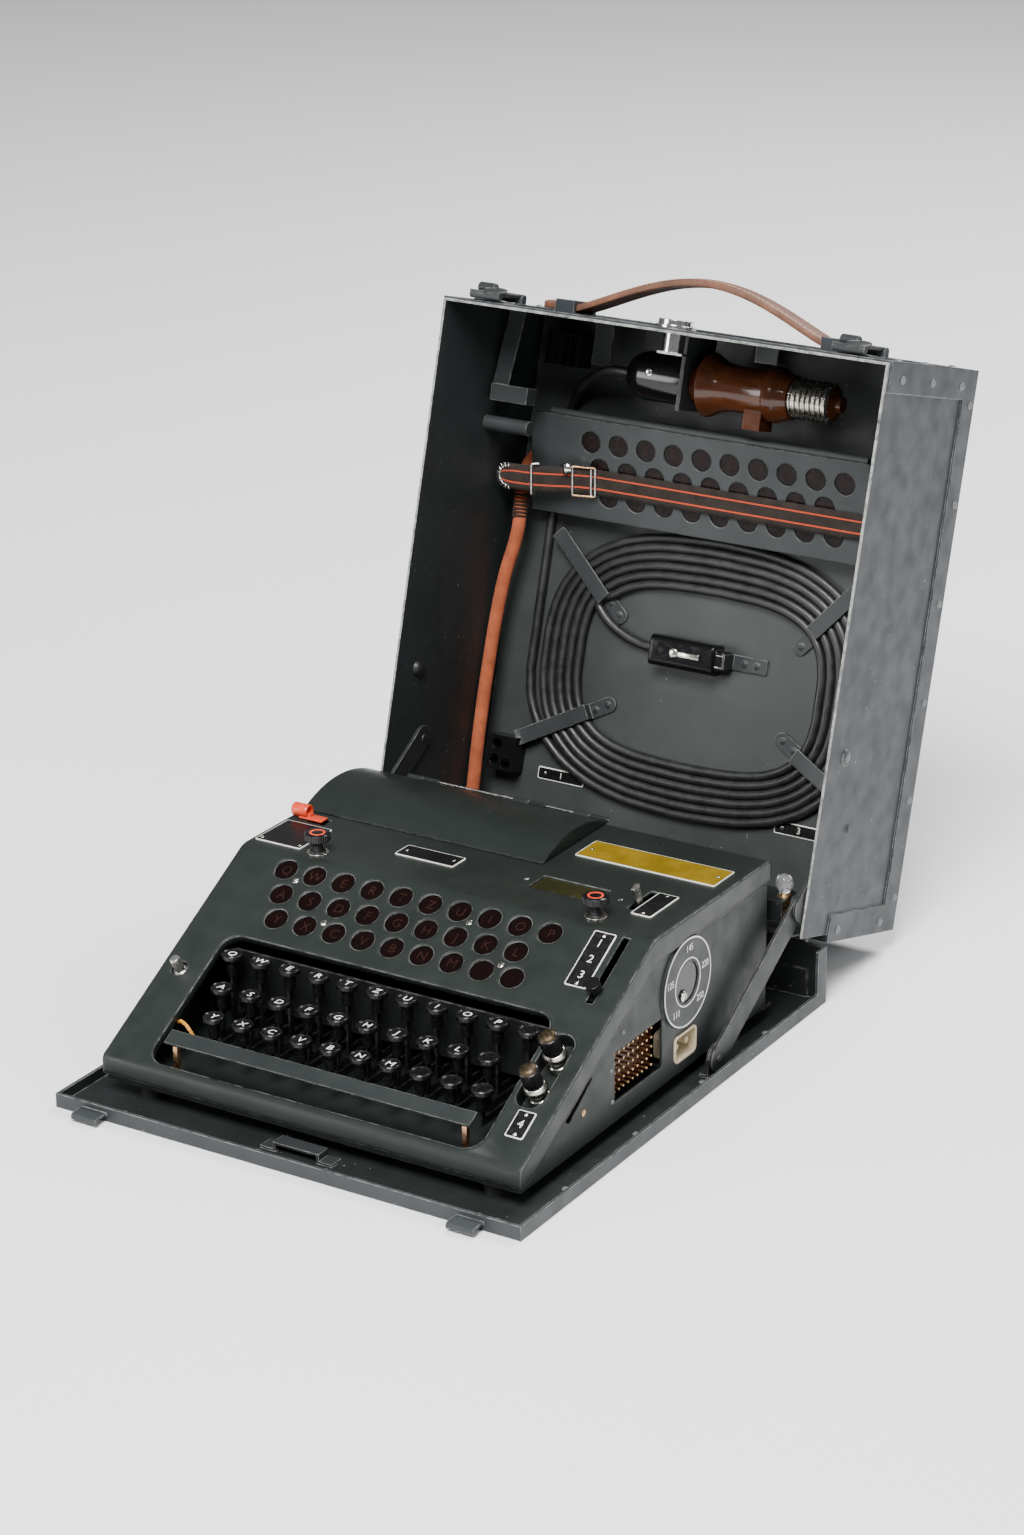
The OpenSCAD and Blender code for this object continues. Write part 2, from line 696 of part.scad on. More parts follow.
// Turned shape along x: pairs of distance along the axis and radius
module turned_x(v, u, profile) {
    last = profile[len(profile) - 1];
    translate([0, v, u]) rotate([0, 90, 0])
        rotate_extrude() polygon(concat([[0, profile[0][0]]], [for (p = profile) [p[1], p[0]]], [[0, last[0]]]));
}

plug_axis = [88, 331];
module mains_plug() {
    turned_x(plug_axis[0], plug_axis[1], [[-63.4, 7], [-61, 11], [-56, 14.6], [-50, 16.4], [-16.6, 16.4]]);
}

thread_pitch = 3.6;
module lamp_adapter() {
    crest = 13.3;
    root = 12.1;
    thread = [for (i = [0:7], k = [0:3])
              [57.5 + thread_pitch * (i + [0, 0.3, 0.5, 0.8][k]), [root, crest, crest, root][k]]];
    turned_x(plug_axis[0], plug_axis[1], concat([[-12.8, 14], [-7, 14], [-7, 19], [-5, 21], [-3, 21],
        [0, 19.5], [6, 16.5], [14, 15], [36, 15], [40, 15.6], [42, 18], [47, 18], [50, 16.5], [56, 14.5],
        [57.5, 14.5]], thread, [[86.3, 11.4], [88, 8], [89, 5.6], [92, 5.2]]));
    block([27, plug_axis[0] - 9, 306.5], [39.5, plug_axis[0] + 9, 331]);
}

module cord_plugs() {
    in_cover() {
        color("#161617") {
            device_plug();
            mains_plug();
        }
        color("#4a2311") lamp_adapter();
    }
}

module strap() {
    in_cover() color("#3b342f") {
        on_lamp_face() translate([0, 51, 0]) rotate([90, 0, 0]) linear_extrude(17.5) polygon([
            [inner_x, seat], [inner_x, seat + 1.8], [-84, seat + 1.8], [-100, 4.5], [-118, 12],
            [-134, 16.5], [-153, 18.5], [-153, 16.7], [-134, 14.7], [-118, 10], [-100, 2.6], [-84, seat]]);
    }
}

// ---- the machine ----

hood_lip = 14.7;
lip_foot = 16;

function hood_path(inset) =
    let (rise = tan(slope_a), drop = inset / cos(slope_a), front = body_front + inset)
    [[front, lip_foot], [front, lip_z + inset * rise - drop],
     [body_front + (top_z - inset + drop - lip_z) / rise, top_z - inset],
     [body_rear - inset, top_z - inset], [body_rear - inset, top_z - hood_lip]];

function rounded_path(p, radii) =
    concat([p[0]], corner_arc(p[0], p[1], p[2], radii[0]), corner_arc(p[1], p[2], p[3], radii[1]),
           corner_arc(p[2], p[3], p[4], radii[2]), [p[4]]);

function reversed(p) = [for (i = [len(p) - 1:-1:0]) p[i]];

module hood_shell() {
    outer = rounded_path(hood_path(0), [5, 16, 5]);
    inner = rounded_path(hood_path(skin), [3.4, 17.6, 3.4]);
    edge = hood_path(hood_lip);
    along_x(-half_w, half_w) polygon(concat(outer, reversed(inner)));
    for (x = [-half_w, half_w - skin]) along_x(x, x + skin)
        polygon(concat(outer, [[edge[3][0] + hood_lip, edge[3][1]], edge[2],
                               [body_front + 10, lip_foot]]));
}

module board_outline(grow, depth) {
    mid = [(board_x[0] + board_x[1]) / 2, (board_s[0] + board_s[1]) / 2];
    size = [board_x[1] - board_x[0], board_s[1] - board_s[0]];
    translate([mid[0], mid[1], -depth]) linear_extrude(depth + 2)
        rounded_rect(size[0] + 2 * grow, size[1] + 2 * grow, board_r + grow);
}

module terminal_well(grow, h0, h1) {
    translate([terminal_x, (terminal_s[0] + terminal_s[1]) / 2, h0]) linear_extrude(h1 - h0)
        rounded_rect(18 + 2 * grow, 54 + 2 * grow, 8.9 + grow);
}

module hood() {
    z0 = top_z - 3;
    z1 = top_z + 3;
    color("#3a403c") difference() {
        union() {
            hood_shell();
            on_panel() intersection() {
                difference() {
                    board_outline(skin, 5);
                    board_outline(0, 6);
                }
                translate([-200, 0, -20]) cube([400, 200, 20]);
            }
        }
        on_panel() {
            board_outline(0, 4);
            lamp_holes(window_d / 2, -6, 4, 0, lamp_rows, lamp_counts);
            terminal_well(0, -4, 4);
            translate([selector_x - 2.4, selector_s[0], -4]) cube([4.8, selector_s[1] - selector_s[0], 8]);
            translate([push_pin[0], push_pin[1], -5]) cylinder(r = 5.2, h = 9);
        }
        block([bay_x[0], bay_y[0], z0], [bay_x[1], bay_y[1], z1]);
        block([counter_x[0], counter_y[0], z0], [counter_x[1], counter_y[1], z1]);
        block([lever_slot[0] - 2.3, lever_slot[1] - 15, z0], [lever_slot[0] + 2.3, lever_slot[1] + 15, z1]);
        block([-134, 41.5, z0], [-120, 50.5, z1]);
        for (t = [thumb_left, thumb_right]) translate([t[0], t[1], z0 - 2]) cylinder(r = 3.2, h = 10);
        rod_x(half_w - 4, half_w + 4, dial[0], dial[1], dial_r + 0.8);
    }
    color("#3a403c") on_panel() difference() {
        terminal_well(1.4, -13.4, -0.6);
        terminal_well(0, -12, 4);
    }
    color("#3a403c") difference() {
        union() for (x = [-120, -40, 5]) {
            rod_x(x, x + 12, flap_pin[0], flap_pin[1], 1.7);
            block([x, body_rear, top_z - 12], [x + 12, body_rear + 1.2, flap_pin[1] - 0.4]);
        }
        rod_x(-130, 30, flap_pin[0], flap_pin[1], 0.8);
    }
    color("#9a9a94") rod_x(-120, 30, flap_pin[0], flap_pin[1], 0.8);
}

module rotor_cover() {
    chord = (flap_y[1] - flap_y[0]) / 2;
    mid = (flap_y[0] + flap_y[1]) / 2;
    radius = (chord * chord + flap_rise * flap_rise) / (2 * flap_rise);
    base = top_z + seat;
    color("#3a403c") {
        difference() {
            along_x(flap_x[0], flap_x[1]) intersection() {
                translate([mid, base + flap_rise - radius]) circle(radius, $fn = 180);
                translate([flap_y[0] - 5, base]) square([100, 30]);
            }
            along_x(flap_x[0] + skin, flap_x[1] - skin) intersection() {
                translate([mid, base + flap_rise - radius]) circle(radius - skin, $fn = 180);
                translate([flap_y[0] - 5, base - 1]) square([100, 30]);
            }
        }
        difference() {
            for (x = [-107.7, -27.7, 17.3]) {
                rod_x(x, x + 12, flap_pin[0], flap_pin[1], 1.7);
                block([x, flap_y[1] - 4, base], [x + 12, flap_pin[0], base + 1]);
            }
            rod_x(-130, 40, flap_pin[0], flap_pin[1], 0.8 + run);
        }
    }
}

// Outline of the lower case's side, just inside the hood
function side_path() =
    let (p = hood_path(skin + 0.2), foot = p[0][0] + 1)
    concat([[foot, 13]], rounded_path([p[0], p[1], p[2], p[3], p[4]], [3.2, 17.8, 3.2]), [[p[3][0], 13]]);

module foot(x, y) {
    translate([x, y, floor_t]) cylinder(r = 9, h = 9.5);
}

module machine_case() {
    wall = half_w - skin - 0.2;
    p = hood_path(skin + 0.2);
    front = p[0][0] + 1;
    rear = p[3][0];
    color("#43494a") difference() {
        union() {
            for (x = [-wall, wall - sheet]) along_x(x, x + sheet) polygon(side_path());
            block([-wall, front, 11.5], [wall, rear, 13]);
            block([-wall, rear - sheet, 13], [wall, rear, p[3][1] - 4]);
            block([-wall, front, 13], [wall, front + sheet, 19]);
        }
        block([wall - 4, pins_y[0], pins_z[0]], [wall + 4, pins_y[1], pins_z[1]]);
        translate([wall - 4, (inlet_y[0] + inlet_y[1]) / 2, (inlet_z[0] + inlet_z[1]) / 2]) rotate([90, 0, 90])
            linear_extrude(8) rounded_rect(inlet_y[1] - inlet_y[0], inlet_z[1] - inlet_z[0], 4);
        translate([wall - 4, fuse[0], fuse[1]]) rotate([90, 0, 90]) linear_extrude(8) rotate(35)
            rounded_rect(fuse_slot[0], fuse_slot[1], fuse_slot[1] / 2 - 0.1);
        rod_x(wall - 4, wall + 4, dial[0], dial[1], 5 + run);
    }
    color("#4b5152") difference() {
        rod_x(wall, half_w, dial[0], dial[1], dial_r);
        rod_x(wall - 1, half_w + 1, dial[0], dial[1], dial_hub_r + seat);
    }
    color("#1a1a1a") for (x = [-122, 122], y = [-140, 118]) foot(x, y);
}

module cheek(x) {
    difference() {
        along_x(x, x + skin) polygon([[-60, 13], [-60, 66], [-8, 96], [132, 96], [132, 13]]);
        rod_x(x - 1, x + skin + 1, key_shaft[0], key_shaft[1], key_shaft_r);
    }
}

module rotor_stand(x) {
    difference() {
        block([x, 66, 13], [x + 2, 124, 94]);
        rod_x(x - 1, x + 3, rotor_y, rotor_z, rotor_shaft_r);
    }
}

module guard_bar() {
    on_panel() block([-108, 16, 5], [106, 26, 7]);
    for (x = [-102.5, 100.5]) {
        p = on_slope(21, 5);
        block([x - 1.5, p[0] - 2, 13], [x + 1.5, p[0] + 1.5, p[1] - 0.4]);
    }
}

module pin_board() {
    wall = half_w - skin - 0.2;
    color("#4a1712") difference() {
        block([wall - 12, pins_y[0] - 4, pins_z[0] - 3], [wall - 10, pins_y[1] + 4, pins_z[1] + 3]);
        for (i = [0:8], j = [0:4]) rod_x(wall - 13, wall - 9, pins_y[0] + 5 + i * 5.4, pins_z[0] + 4 + j * 6, 0.8);
    }
    color("#c48a55") for (i = [0:8], j = [0:4])
        rod_x(wall - 14, wall - 3, pins_y[0] + 5 + i * 5.4, pins_z[0] + 4 + j * 6, 0.8);
    color("#4a1712") for (y = [pins_y[0] - 3, pins_y[1] + 3], z = [pins_z[0] - 2, pins_z[1] + 2])
        rod_x(wall - 10, wall - sheet, y, z, 1.6);
}

module inlet() {
    wall = half_w - skin - 0.2;
    mid = [(inlet_y[0] + inlet_y[1]) / 2, (inlet_z[0] + inlet_z[1]) / 2];
    size = [inlet_y[1] - inlet_y[0], inlet_z[1] - inlet_z[0]];
    color("#b8965a") difference() {
        translate([wall - 14, mid[0], mid[1]]) rotate([90, 0, 90]) linear_extrude(15)
            rounded_rect(size[0] - 0.2, size[1] - 0.2, 3.9);
        translate([wall - 12, mid[0], mid[1]]) rotate([90, 0, 90]) linear_extrude(16)
            rounded_rect(size[0] - 3, size[1] - 3, 2.6);
    }
    color("#c0a878") for (y = [-6, 6]) rod_x(wall - 12, wall - 2, mid[0] + y, mid[1], 2);
}

module chassis() {
    stack = rotor_pitch * rotor_count;
    color("#55585a") {
        cheek(-138);
        cheek(126);
        rotor_stand(rotor_x0 - 5);
        rotor_stand(rotor_x0 + stack + 3);
        block([-112, -66, 34], [112, -64.4, 70]);
        for (x = [-112, 110.4]) block([x, -66, 13], [x + 1.6, -64.4, 34]);
        guard_bar();
        block([lever_slot[0] + 1.6, lever_pivot[0] - 5, 13], [lever_slot[0] + 3.2, lever_pivot[0] + 5, 104]);
    }
    color("#b0aca4") {
        rod_x(-138, 126 + skin, key_shaft[0], key_shaft[1], key_shaft_r);
        rod_x(rotor_x0 - 5, rotor_x0 + stack + 5, rotor_y, rotor_z, rotor_shaft_r);
        rod_x(lever_slot[0] - 2.4, lever_slot[0] + 2, lever_pivot[0], lever_pivot[1], 1.5);
    }
    color("#d9d4c4") for (i = [0:4])
        rod_x(44 + i * 8.2, 51.6 + i * 8.2, 34, 96, 9.5);
    color("#55585a") {
        block([42.3, 30, 80], [43.7, 38, 98]);
        block([84.7, 30, 80], [86.1, 38, 98]);
        block([42.3, 30, 78.5], [86.1, 38, 80]);
        block([60, 30, 13], [66, 38, 78.5]);
    }
    pin_board();
    inlet();
}

module lamp_windows() {
    color("#2c2f30") on_panel() block([-120, 112.5, -4.6], [97, 166.5, -3]);
    color("#3a1512") on_panel() lamp_holes(window_d / 2 - 0.1, -3, -0.9, 0, lamp_rows, lamp_counts);
    color("#2c2f30") on_panel() for (x = [-118, 95], s = [114.5, 163]) translate([x, s, -3])
        cylinder(r = 1.8, h = 3 - skin);
    color("#8f8a5c") block([counter_x[0] + 0.1, counter_y[0] + 0.1, top_z - 2.4],
                           [counter_x[1] - 0.1, counter_y[1] - 0.1, top_z - 0.9]);
}

module power_selector() {
    color("#2a2c2d") on_panel() {
        block([selector_x - 5, 122, -5], [selector_x + 5, 134, -skin - seat]);
        block([selector_x - 2.1, 124, -skin - seat], [selector_x + 2.1, 132, 3]);
        translate([selector_x, 128, 3]) cylinder(r = 4.6, h = 5);
    }
}

lever_pivot = [lever_slot[1], 98];
module counter_lever() {
    color("#9a9892") difference() {
        translate([lever_slot[0], lever_pivot[0], lever_pivot[1]]) rotate([20, 0, 0]) {
            block([-1.2, -3, -3], [1.2, 3, 27]);
            translate([-1.2, 0, 0]) rotate([0, 90, 0]) cylinder(r = 4.5, h = 2.4);
        }
        rod_x(lever_slot[0] - 4, lever_slot[0] + 4, lever_pivot[0], lever_pivot[1], 1.5 + run);
    }
}

module release_lever() {
    z = top_z + 0.6;
    color("#c8391c") translate([0, 50, 0]) rotate([90, 0, 0]) linear_extrude(8) union() {
        difference() {
            translate([-139.5, z + 4.2]) circle(4.2);
            translate([-139.5, z + 4.2]) circle(3);
            translate([-139.5, z + 1.2]) square([8, 3]);
        }
        translate([-139.5, z]) square([17.5, 1.2]);
        translate([-123.2, z - 6]) square([1.2, 7]);
    }
}

module voltage_dial() {
    wall = half_w - skin - 0.2;
    color("#1e1f20") {
        rod_x(wall - 6, wall + 0.1, dial[0], dial[1], 5);
        rod_x(wall + 0.1, wall + 0.9, dial[0], dial[1], dial_hub_r);
        rod_x(wall + 0.9, wall + 1.7, dial[0] - 4.6, dial[1] - 7.5, 4);
    }
}

module thumb_screw(p) {
    translate([p[0], p[1], 0]) rotate_extrude() polygon([[0, 99], [3, 99], [3, top_z], [5, top_z],
        [5, top_z + 1.5], [3.4, top_z + 2.5], [3.4, top_z + 5], [5, top_z + 7], [8, top_z + 9],
        [8, top_z + 13], [7, top_z + 14], [0, top_z + 14]]);
}

module terminal(s) {
    on_panel() translate([terminal_x, s, 0]) rotate_extrude() polygon([[0, -12], [6, -12], [6, -2],
        [7.4, -2], [7.4, 5], [5.6, 6.5], [5.6, 18], [4.6, 19], [0, 19]]);
}

module knurled_knobs() {
    color("#1c1c1d") {
        thumb_screw(thumb_left);
        thumb_screw(thumb_right);
    }
    color("#b9b5a8") for (s = terminal_s) terminal(s);
    color("#b9b5a8") on_panel() translate([push_pin[0], push_pin[1], -8]) {
        cylinder(r = 4.4, h = 7);
        translate([0, 0, 7]) cylinder(r = 3.2, h = 11);
    }
}

module rotor(i) {
    x = rotor_x0 + i * rotor_pitch;
    rim = rotor_d / 2;
    notches = 26;
    color("#2e3032") translate([x, rotor_y, rotor_z]) rotate([0, 90, 0]) difference() {
        rotate_extrude($fn = 72) polygon([[rotor_shaft_r + run, 0.3], [rim - 3, 0.3], [rim - 3, 6],
            [rim, 6.5], [rim, 11.5], [rim - 3, 12], [rim - 3, 18], [rim - 1, 18.5], [rim - 1, 26],
            [rim - 4, 29.7], [rotor_shaft_r + run, 29.7]]);
        for (n = [0:2:notches - 1]) rotate(360 * n / notches) translate([rim, 0, 6])
            cylinder(r = 1.6, h = 6, $fn = 16);
    }
}

// One key: round cap on a neck, and its flat stem and lever in one plate
module key(row, col) {
    x = first_x + row_step * row + pitch * col;
    cap = on_slope(key_rows[row]);
    r = cap_d / 2;
    bar = [key_shaft[1] - 2.5, key_shaft[1] + 2.5];
    color("#1a1a1b") translate([x, cap[0], cap[1]]) rotate_extrude()
        polygon([[0, -cap_h], [3.4, -cap_h], [3.8, -6.4], [4.6, -4], [r, -3.2], [r, -0.7],
                 [r - 0.8, 0], [r - 1.6, -0.6], [0, -0.9]]);
    color("#4c4e4f") difference() {
        along_x(x - 0.8, x + 0.8) union() {
            translate([cap[0] - 2, bar[0]]) square([key_shaft[0] - cap[0] + 2, bar[1] - bar[0]]);
            translate([cap[0] - 2, bar[0]]) square([4, cap[1] - cap_h - bar[0]]);
            translate(key_shaft) circle(4.2);
        }
        rod_x(x - 2, x + 2, key_shaft[0], key_shaft[1], key_shaft_r + run);
    }
}

module latch_bases() {
    in_cover() color("#3f4648") for (side = [-1, 1]) latch_base(side);
}

case_tray();
union() {
    case_cover();
    latch_bases();
}
cover_fittings();
carry_handle();
latch(-1);  // latch_left
latch(1);  // latch_right
stay_lower();
stay_upper();
remote_lamp_box();
mains_cord_coil();
mains_cord_leads();
cord_plugs();
strap();
lamp_cable();
machine_case();
hood();
rotor_cover();
chassis();
lamp_windows();
power_selector();
counter_lever();
release_lever();
voltage_dial();
knurled_knobs();
rotor(0);  // rotor_1
rotor(1);  // rotor_2
rotor(2);  // rotor_3
rotor(3);  // rotor_4
rotor(4);  // rotor_5
for (k = KEYS) key(k[1], k[2]);
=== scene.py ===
"""Looks of a portable rotor cipher machine in its open carrying case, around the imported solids."""

import logging
import math
from collections.abc import Callable, Iterable, Sequence
from dataclasses import dataclass
from enum import Enum

import bmesh
import bpy
from mathutils import Matrix, Vector


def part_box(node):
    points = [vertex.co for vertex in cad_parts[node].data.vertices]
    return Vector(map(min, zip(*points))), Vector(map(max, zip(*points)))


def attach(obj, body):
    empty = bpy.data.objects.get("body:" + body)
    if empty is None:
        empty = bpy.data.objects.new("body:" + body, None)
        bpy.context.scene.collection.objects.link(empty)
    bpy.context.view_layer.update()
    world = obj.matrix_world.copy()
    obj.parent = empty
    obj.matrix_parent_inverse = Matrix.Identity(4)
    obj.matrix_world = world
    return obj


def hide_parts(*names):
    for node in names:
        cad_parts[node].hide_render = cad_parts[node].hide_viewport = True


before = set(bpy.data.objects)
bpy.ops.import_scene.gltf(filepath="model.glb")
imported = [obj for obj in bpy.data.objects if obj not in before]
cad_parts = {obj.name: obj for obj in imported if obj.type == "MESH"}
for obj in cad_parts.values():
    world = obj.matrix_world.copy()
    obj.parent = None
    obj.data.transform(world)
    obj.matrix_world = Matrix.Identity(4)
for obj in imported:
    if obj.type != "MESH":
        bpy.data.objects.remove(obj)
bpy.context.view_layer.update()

log = logging.getLogger("cipher_machine")
MM = 0.001
Colour = tuple[float, float, float]
Spot = tuple[float, float]
Point = tuple[float, float, float]


# ---- places on the object ----


@dataclass(frozen=True)
class CaseFrame:
    """Frames of the case and the machine, in the millimetres of the solids."""

    hinge_y: float = 183.0
    hinge_z: float = 40.3
    hinge_depth: float = 32.5
    cover_lean: float = 15.9
    front_y: float = -157.0
    lip_z: float = 27.0
    fold_y: float = -8.0
    top_z: float = 111.0
    half_width: float = 146.5
    lamp_face_top: Spot = (95.0, 296.0)
    lamp_face_foot: Spot = (113.0, 230.0)

    def cover(self) -> Matrix:
        """Find the open cover's frame.

        Returns:
            From x, depth from the cover's rim and height to the scene.
        """
        return (
            Matrix.Scale(MM, 4)
            @ Matrix.Translation((0, self.hinge_y, self.hinge_z))
            @ Matrix.Rotation(math.radians(-self.cover_lean), 4, "X")
            @ Matrix.Translation((0, -self.hinge_depth, 0))
        )

    def panel(self) -> Matrix:
        """Find the sloping panel's frame.

        Returns:
            From x, distance up the slope and height over it to the scene.
        """
        slope = math.atan2(self.top_z - self.lip_z, self.fold_y - self.front_y)
        return (
            Matrix.Scale(MM, 4)
            @ Matrix.Translation((0, self.front_y, self.lip_z))
            @ Matrix.Rotation(slope, 4, "X")
        )

    def top(self) -> Matrix:
        """Return the flat top's frame: x, y, height over it."""
        return Matrix.Scale(MM, 4) @ Matrix.Translation((0, 0, self.top_z))

    def lamp_face(self) -> Matrix:
        """Find the remote lamp panel's frame.

        Returns:
            From x, distance up from its top edge and height over it to the scene.
        """
        top, foot = Vector(self.lamp_face_top), Vector(self.lamp_face_foot)
        up = (top - foot).normalized()
        face = ((1, 0, 0, 0), (0, up[0], -up[1], top[0]), (0, up[1], up[0], top[1]), (0, 0, 0, 1))
        return self.cover() @ Matrix(face)

    def facing(self, depth: float) -> Matrix:
        """Find the frame of a plane in the cover that faces forwards.

        Args:
            depth: The plane's depth from the cover's rim.

        Returns:
            From x, height and distance in front of the plane to the scene.
        """
        return self.cover() @ Matrix(((1, 0, 0, 0), (0, 0, -1, depth), (0, 1, 0, 0), (0, 0, 0, 1)))

    def back_panel(self) -> Matrix:
        """Return the cover's back panel: x, height, distance in front of it."""
        return self.facing(129.5)

    def right_side(self) -> Matrix:
        """Find the frame of the machine's right side.

        Returns:
            From y, z and distance out of the side to the scene.
        """
        side = Matrix(((0, 0, 1, self.half_width), (1, 0, 0, 0), (0, 1, 0, 0), (0, 0, 0, 1)))
        return Matrix.Scale(MM, 4) @ side


FRAMES = CaseFrame()
WORLD = Matrix.Scale(MM, 4)


# ---- finishes ----


class Graph:
    """The node tree of one finish."""

    def __init__(self, name: str) -> None:
        """Start an empty finish.

        Args:
            name: The material's name.
        """
        self.material = bpy.data.materials.new(name)
        self.material.use_nodes = True
        self.tree = self.material.node_tree
        self.shader = self.tree.nodes["Principled BSDF"]
        self.place = self.add("ShaderNodeTexCoord").outputs["Object"]

    def add(self, kind: str, values: dict | None = None, **settings: object) -> bpy.types.Node:
        """Add a node.

        Args:
            kind: Blender's name of the node type.
            values: Sockets, each with a number or with the output that feeds it.
            settings: Properties of the node.

        Returns:
            The new node.
        """
        node = self.tree.nodes.new(kind)
        for name, value in settings.items():
            setattr(node, name, value)
        for socket, value in (values or {}).items():
            self.set(node.inputs[socket], value)
        return node

    def set(self, socket: bpy.types.NodeSocket, value: object) -> None:
        """Feed a socket.

        Args:
            socket: The input to feed.
            value: The output that is linked to it, or its own value.
        """
        if isinstance(value, bpy.types.NodeSocket):
            self.tree.links.new(value, socket)
        else:
            socket.default_value = value

    def scaled(self, scale: Sequence[float], turn: float = 0.0) -> bpy.types.NodeSocket:
        """Stretch and turn the object coordinates.

        Args:
            scale: Factor along each axis.
            turn: Turn about Z in degrees.

        Returns:
            The output with the new coordinates.
        """
        return self.add(
            "ShaderNodeMapping",
            {"Vector": self.place, "Scale": scale, "Rotation": (0, 0, math.radians(turn))},
        ).outputs[0]

    def noise(
        self, scale: float, detail: float = 3, rough: float = 0.5, at: object = None
    ) -> bpy.types.NodeSocket:
        """Add a cloudy noise.

        Args:
            scale: Its spots per metre.
            detail: How many finer layers it has.
            rough: Weight of the finer layers.
            at: Output with its coordinates, or none for the object's own.

        Returns:
            An output from 0 to 1.
        """
        values = {"Vector": at or self.place, "Scale": scale, "Detail": detail, "Roughness": rough}
        return self.add("ShaderNodeTexNoise", values).outputs["Fac"]

    def ramp(
        self, value: bpy.types.NodeSocket, stops: Iterable[tuple[float, Colour]]
    ) -> bpy.types.NodeSocket:
        """Colour a value.

        Args:
            value: An output from 0 to 1.
            stops: Places on that range, each with its colour.

        Returns:
            The output with the colour.
        """
        node = self.add("ShaderNodeValToRGB", {"Fac": value})
        band = node.color_ramp.elements
        for i, (position, colour) in enumerate(stops):
            stop = band[i] if i < 2 else band.new(position)
            stop.position = position
            stop.color = (*colour, 1)
        return node.outputs["Color"]

    def step(
        self, value: bpy.types.NodeSocket, low: float, high: float, to: Spot = (0, 1)
    ) -> bpy.types.NodeSocket:
        """Map a value from one range to another, held at the ends.

        Args:
            value: The output to map.
            low: Start of its range.
            high: End of its range.
            to: Start and end of the new range.

        Returns:
            The mapped output.
        """
        values = {"Value": value, "From Min": low, "From Max": high, "To Min": to[0], "To Max": to[1]}
        return self.add("ShaderNodeMapRange", values).outputs[0]

    def mix(self, share: object, a: object, b: object) -> bpy.types.NodeSocket:
        """Mix two colours.

        Args:
            share: Share of the second colour, as an output or a number.
            a: The first colour, as an output or three numbers.
            b: The second colour.

        Returns:
            The output with the mixed colour.
        """
        node = self.add("ShaderNodeMix", data_type="RGBA")
        for socket, value in ((0, share), (6, a), (7, b)):
            if isinstance(value, tuple):
                value = (*value, 1)
            self.set(node.inputs[socket], value)
        return node.outputs[2]

    def sum(self, operation: str, a: object, b: object) -> bpy.types.NodeSocket:
        """Return a sum of two values by the named operation."""
        return self.add("ShaderNodeMath", {0: a, 1: b}, operation=operation).outputs[0]

    def edges(self, width: float) -> tuple[bpy.types.NodeSocket, bpy.types.NodeSocket]:
        """Find outer edges.

        Args:
            width: How far the edge reaches over the faces, in metres.

        Returns:
            How near an edge a point is, and the rounded normal.
        """
        round_edge = self.add("ShaderNodeBevel", {"Radius": width}, samples=6).outputs[0]
        flat = self.add("ShaderNodeNewGeometry").outputs["Normal"]
        dot = self.add("ShaderNodeVectorMath", {0: round_edge, 1: flat}, operation="DOT_PRODUCT")
        return self.step(dot.outputs["Value"], 0.995, 0.78), round_edge

    def bump(self, height: object, depth: float, strength: float = 1.0, normal: object = None) -> None:
        """Emboss the shader's normal.

        Args:
            height: Output that tells the height.
            depth: Depth of the relief in metres.
            strength: Share of the relief that is used.
            normal: Output with the normal to start from.
        """
        values = {"Height": height, "Distance": depth, "Strength": strength}
        if normal is not None:
            values["Normal"] = normal
        self.set(self.shader.inputs["Normal"], self.add("ShaderNodeBump", values).outputs[0])

    def shade(self, **values: object) -> bpy.types.Material:
        """Set sockets of the shader.

        Args:
            values: Outputs, numbers or colours by the sockets' names, with _ for a space.

        Returns:
            The finished material.
        """
        for name, value in values.items():
            if isinstance(value, tuple):
                value = (*value, 1)
            self.set(self.shader.inputs[name.replace("_", " ")], value)
        return self.material


@dataclass(frozen=True)
class Finish:
    """A finish with one colour family; kinds of finish build their own nodes."""

    name: str
    colour: Colour

    def material(self) -> bpy.types.Material:
        """Return the material, which is made once."""
        return bpy.data.materials.get(self.name) or self.build(Graph(self.name))

    def build(self, graph: Graph) -> bpy.types.Material:
        """Build the finish's nodes.

        Args:
            graph: The empty node tree of its material.

        Returns:
            The material.

        Raises:
            NotImplementedError: Each kind of finish has its own.
        """
        raise NotImplementedError

    def tint(self, factor: float) -> Colour:
        """Return the colour made lighter or darker."""
        return tuple(min(1.0, c * factor) for c in self.colour)


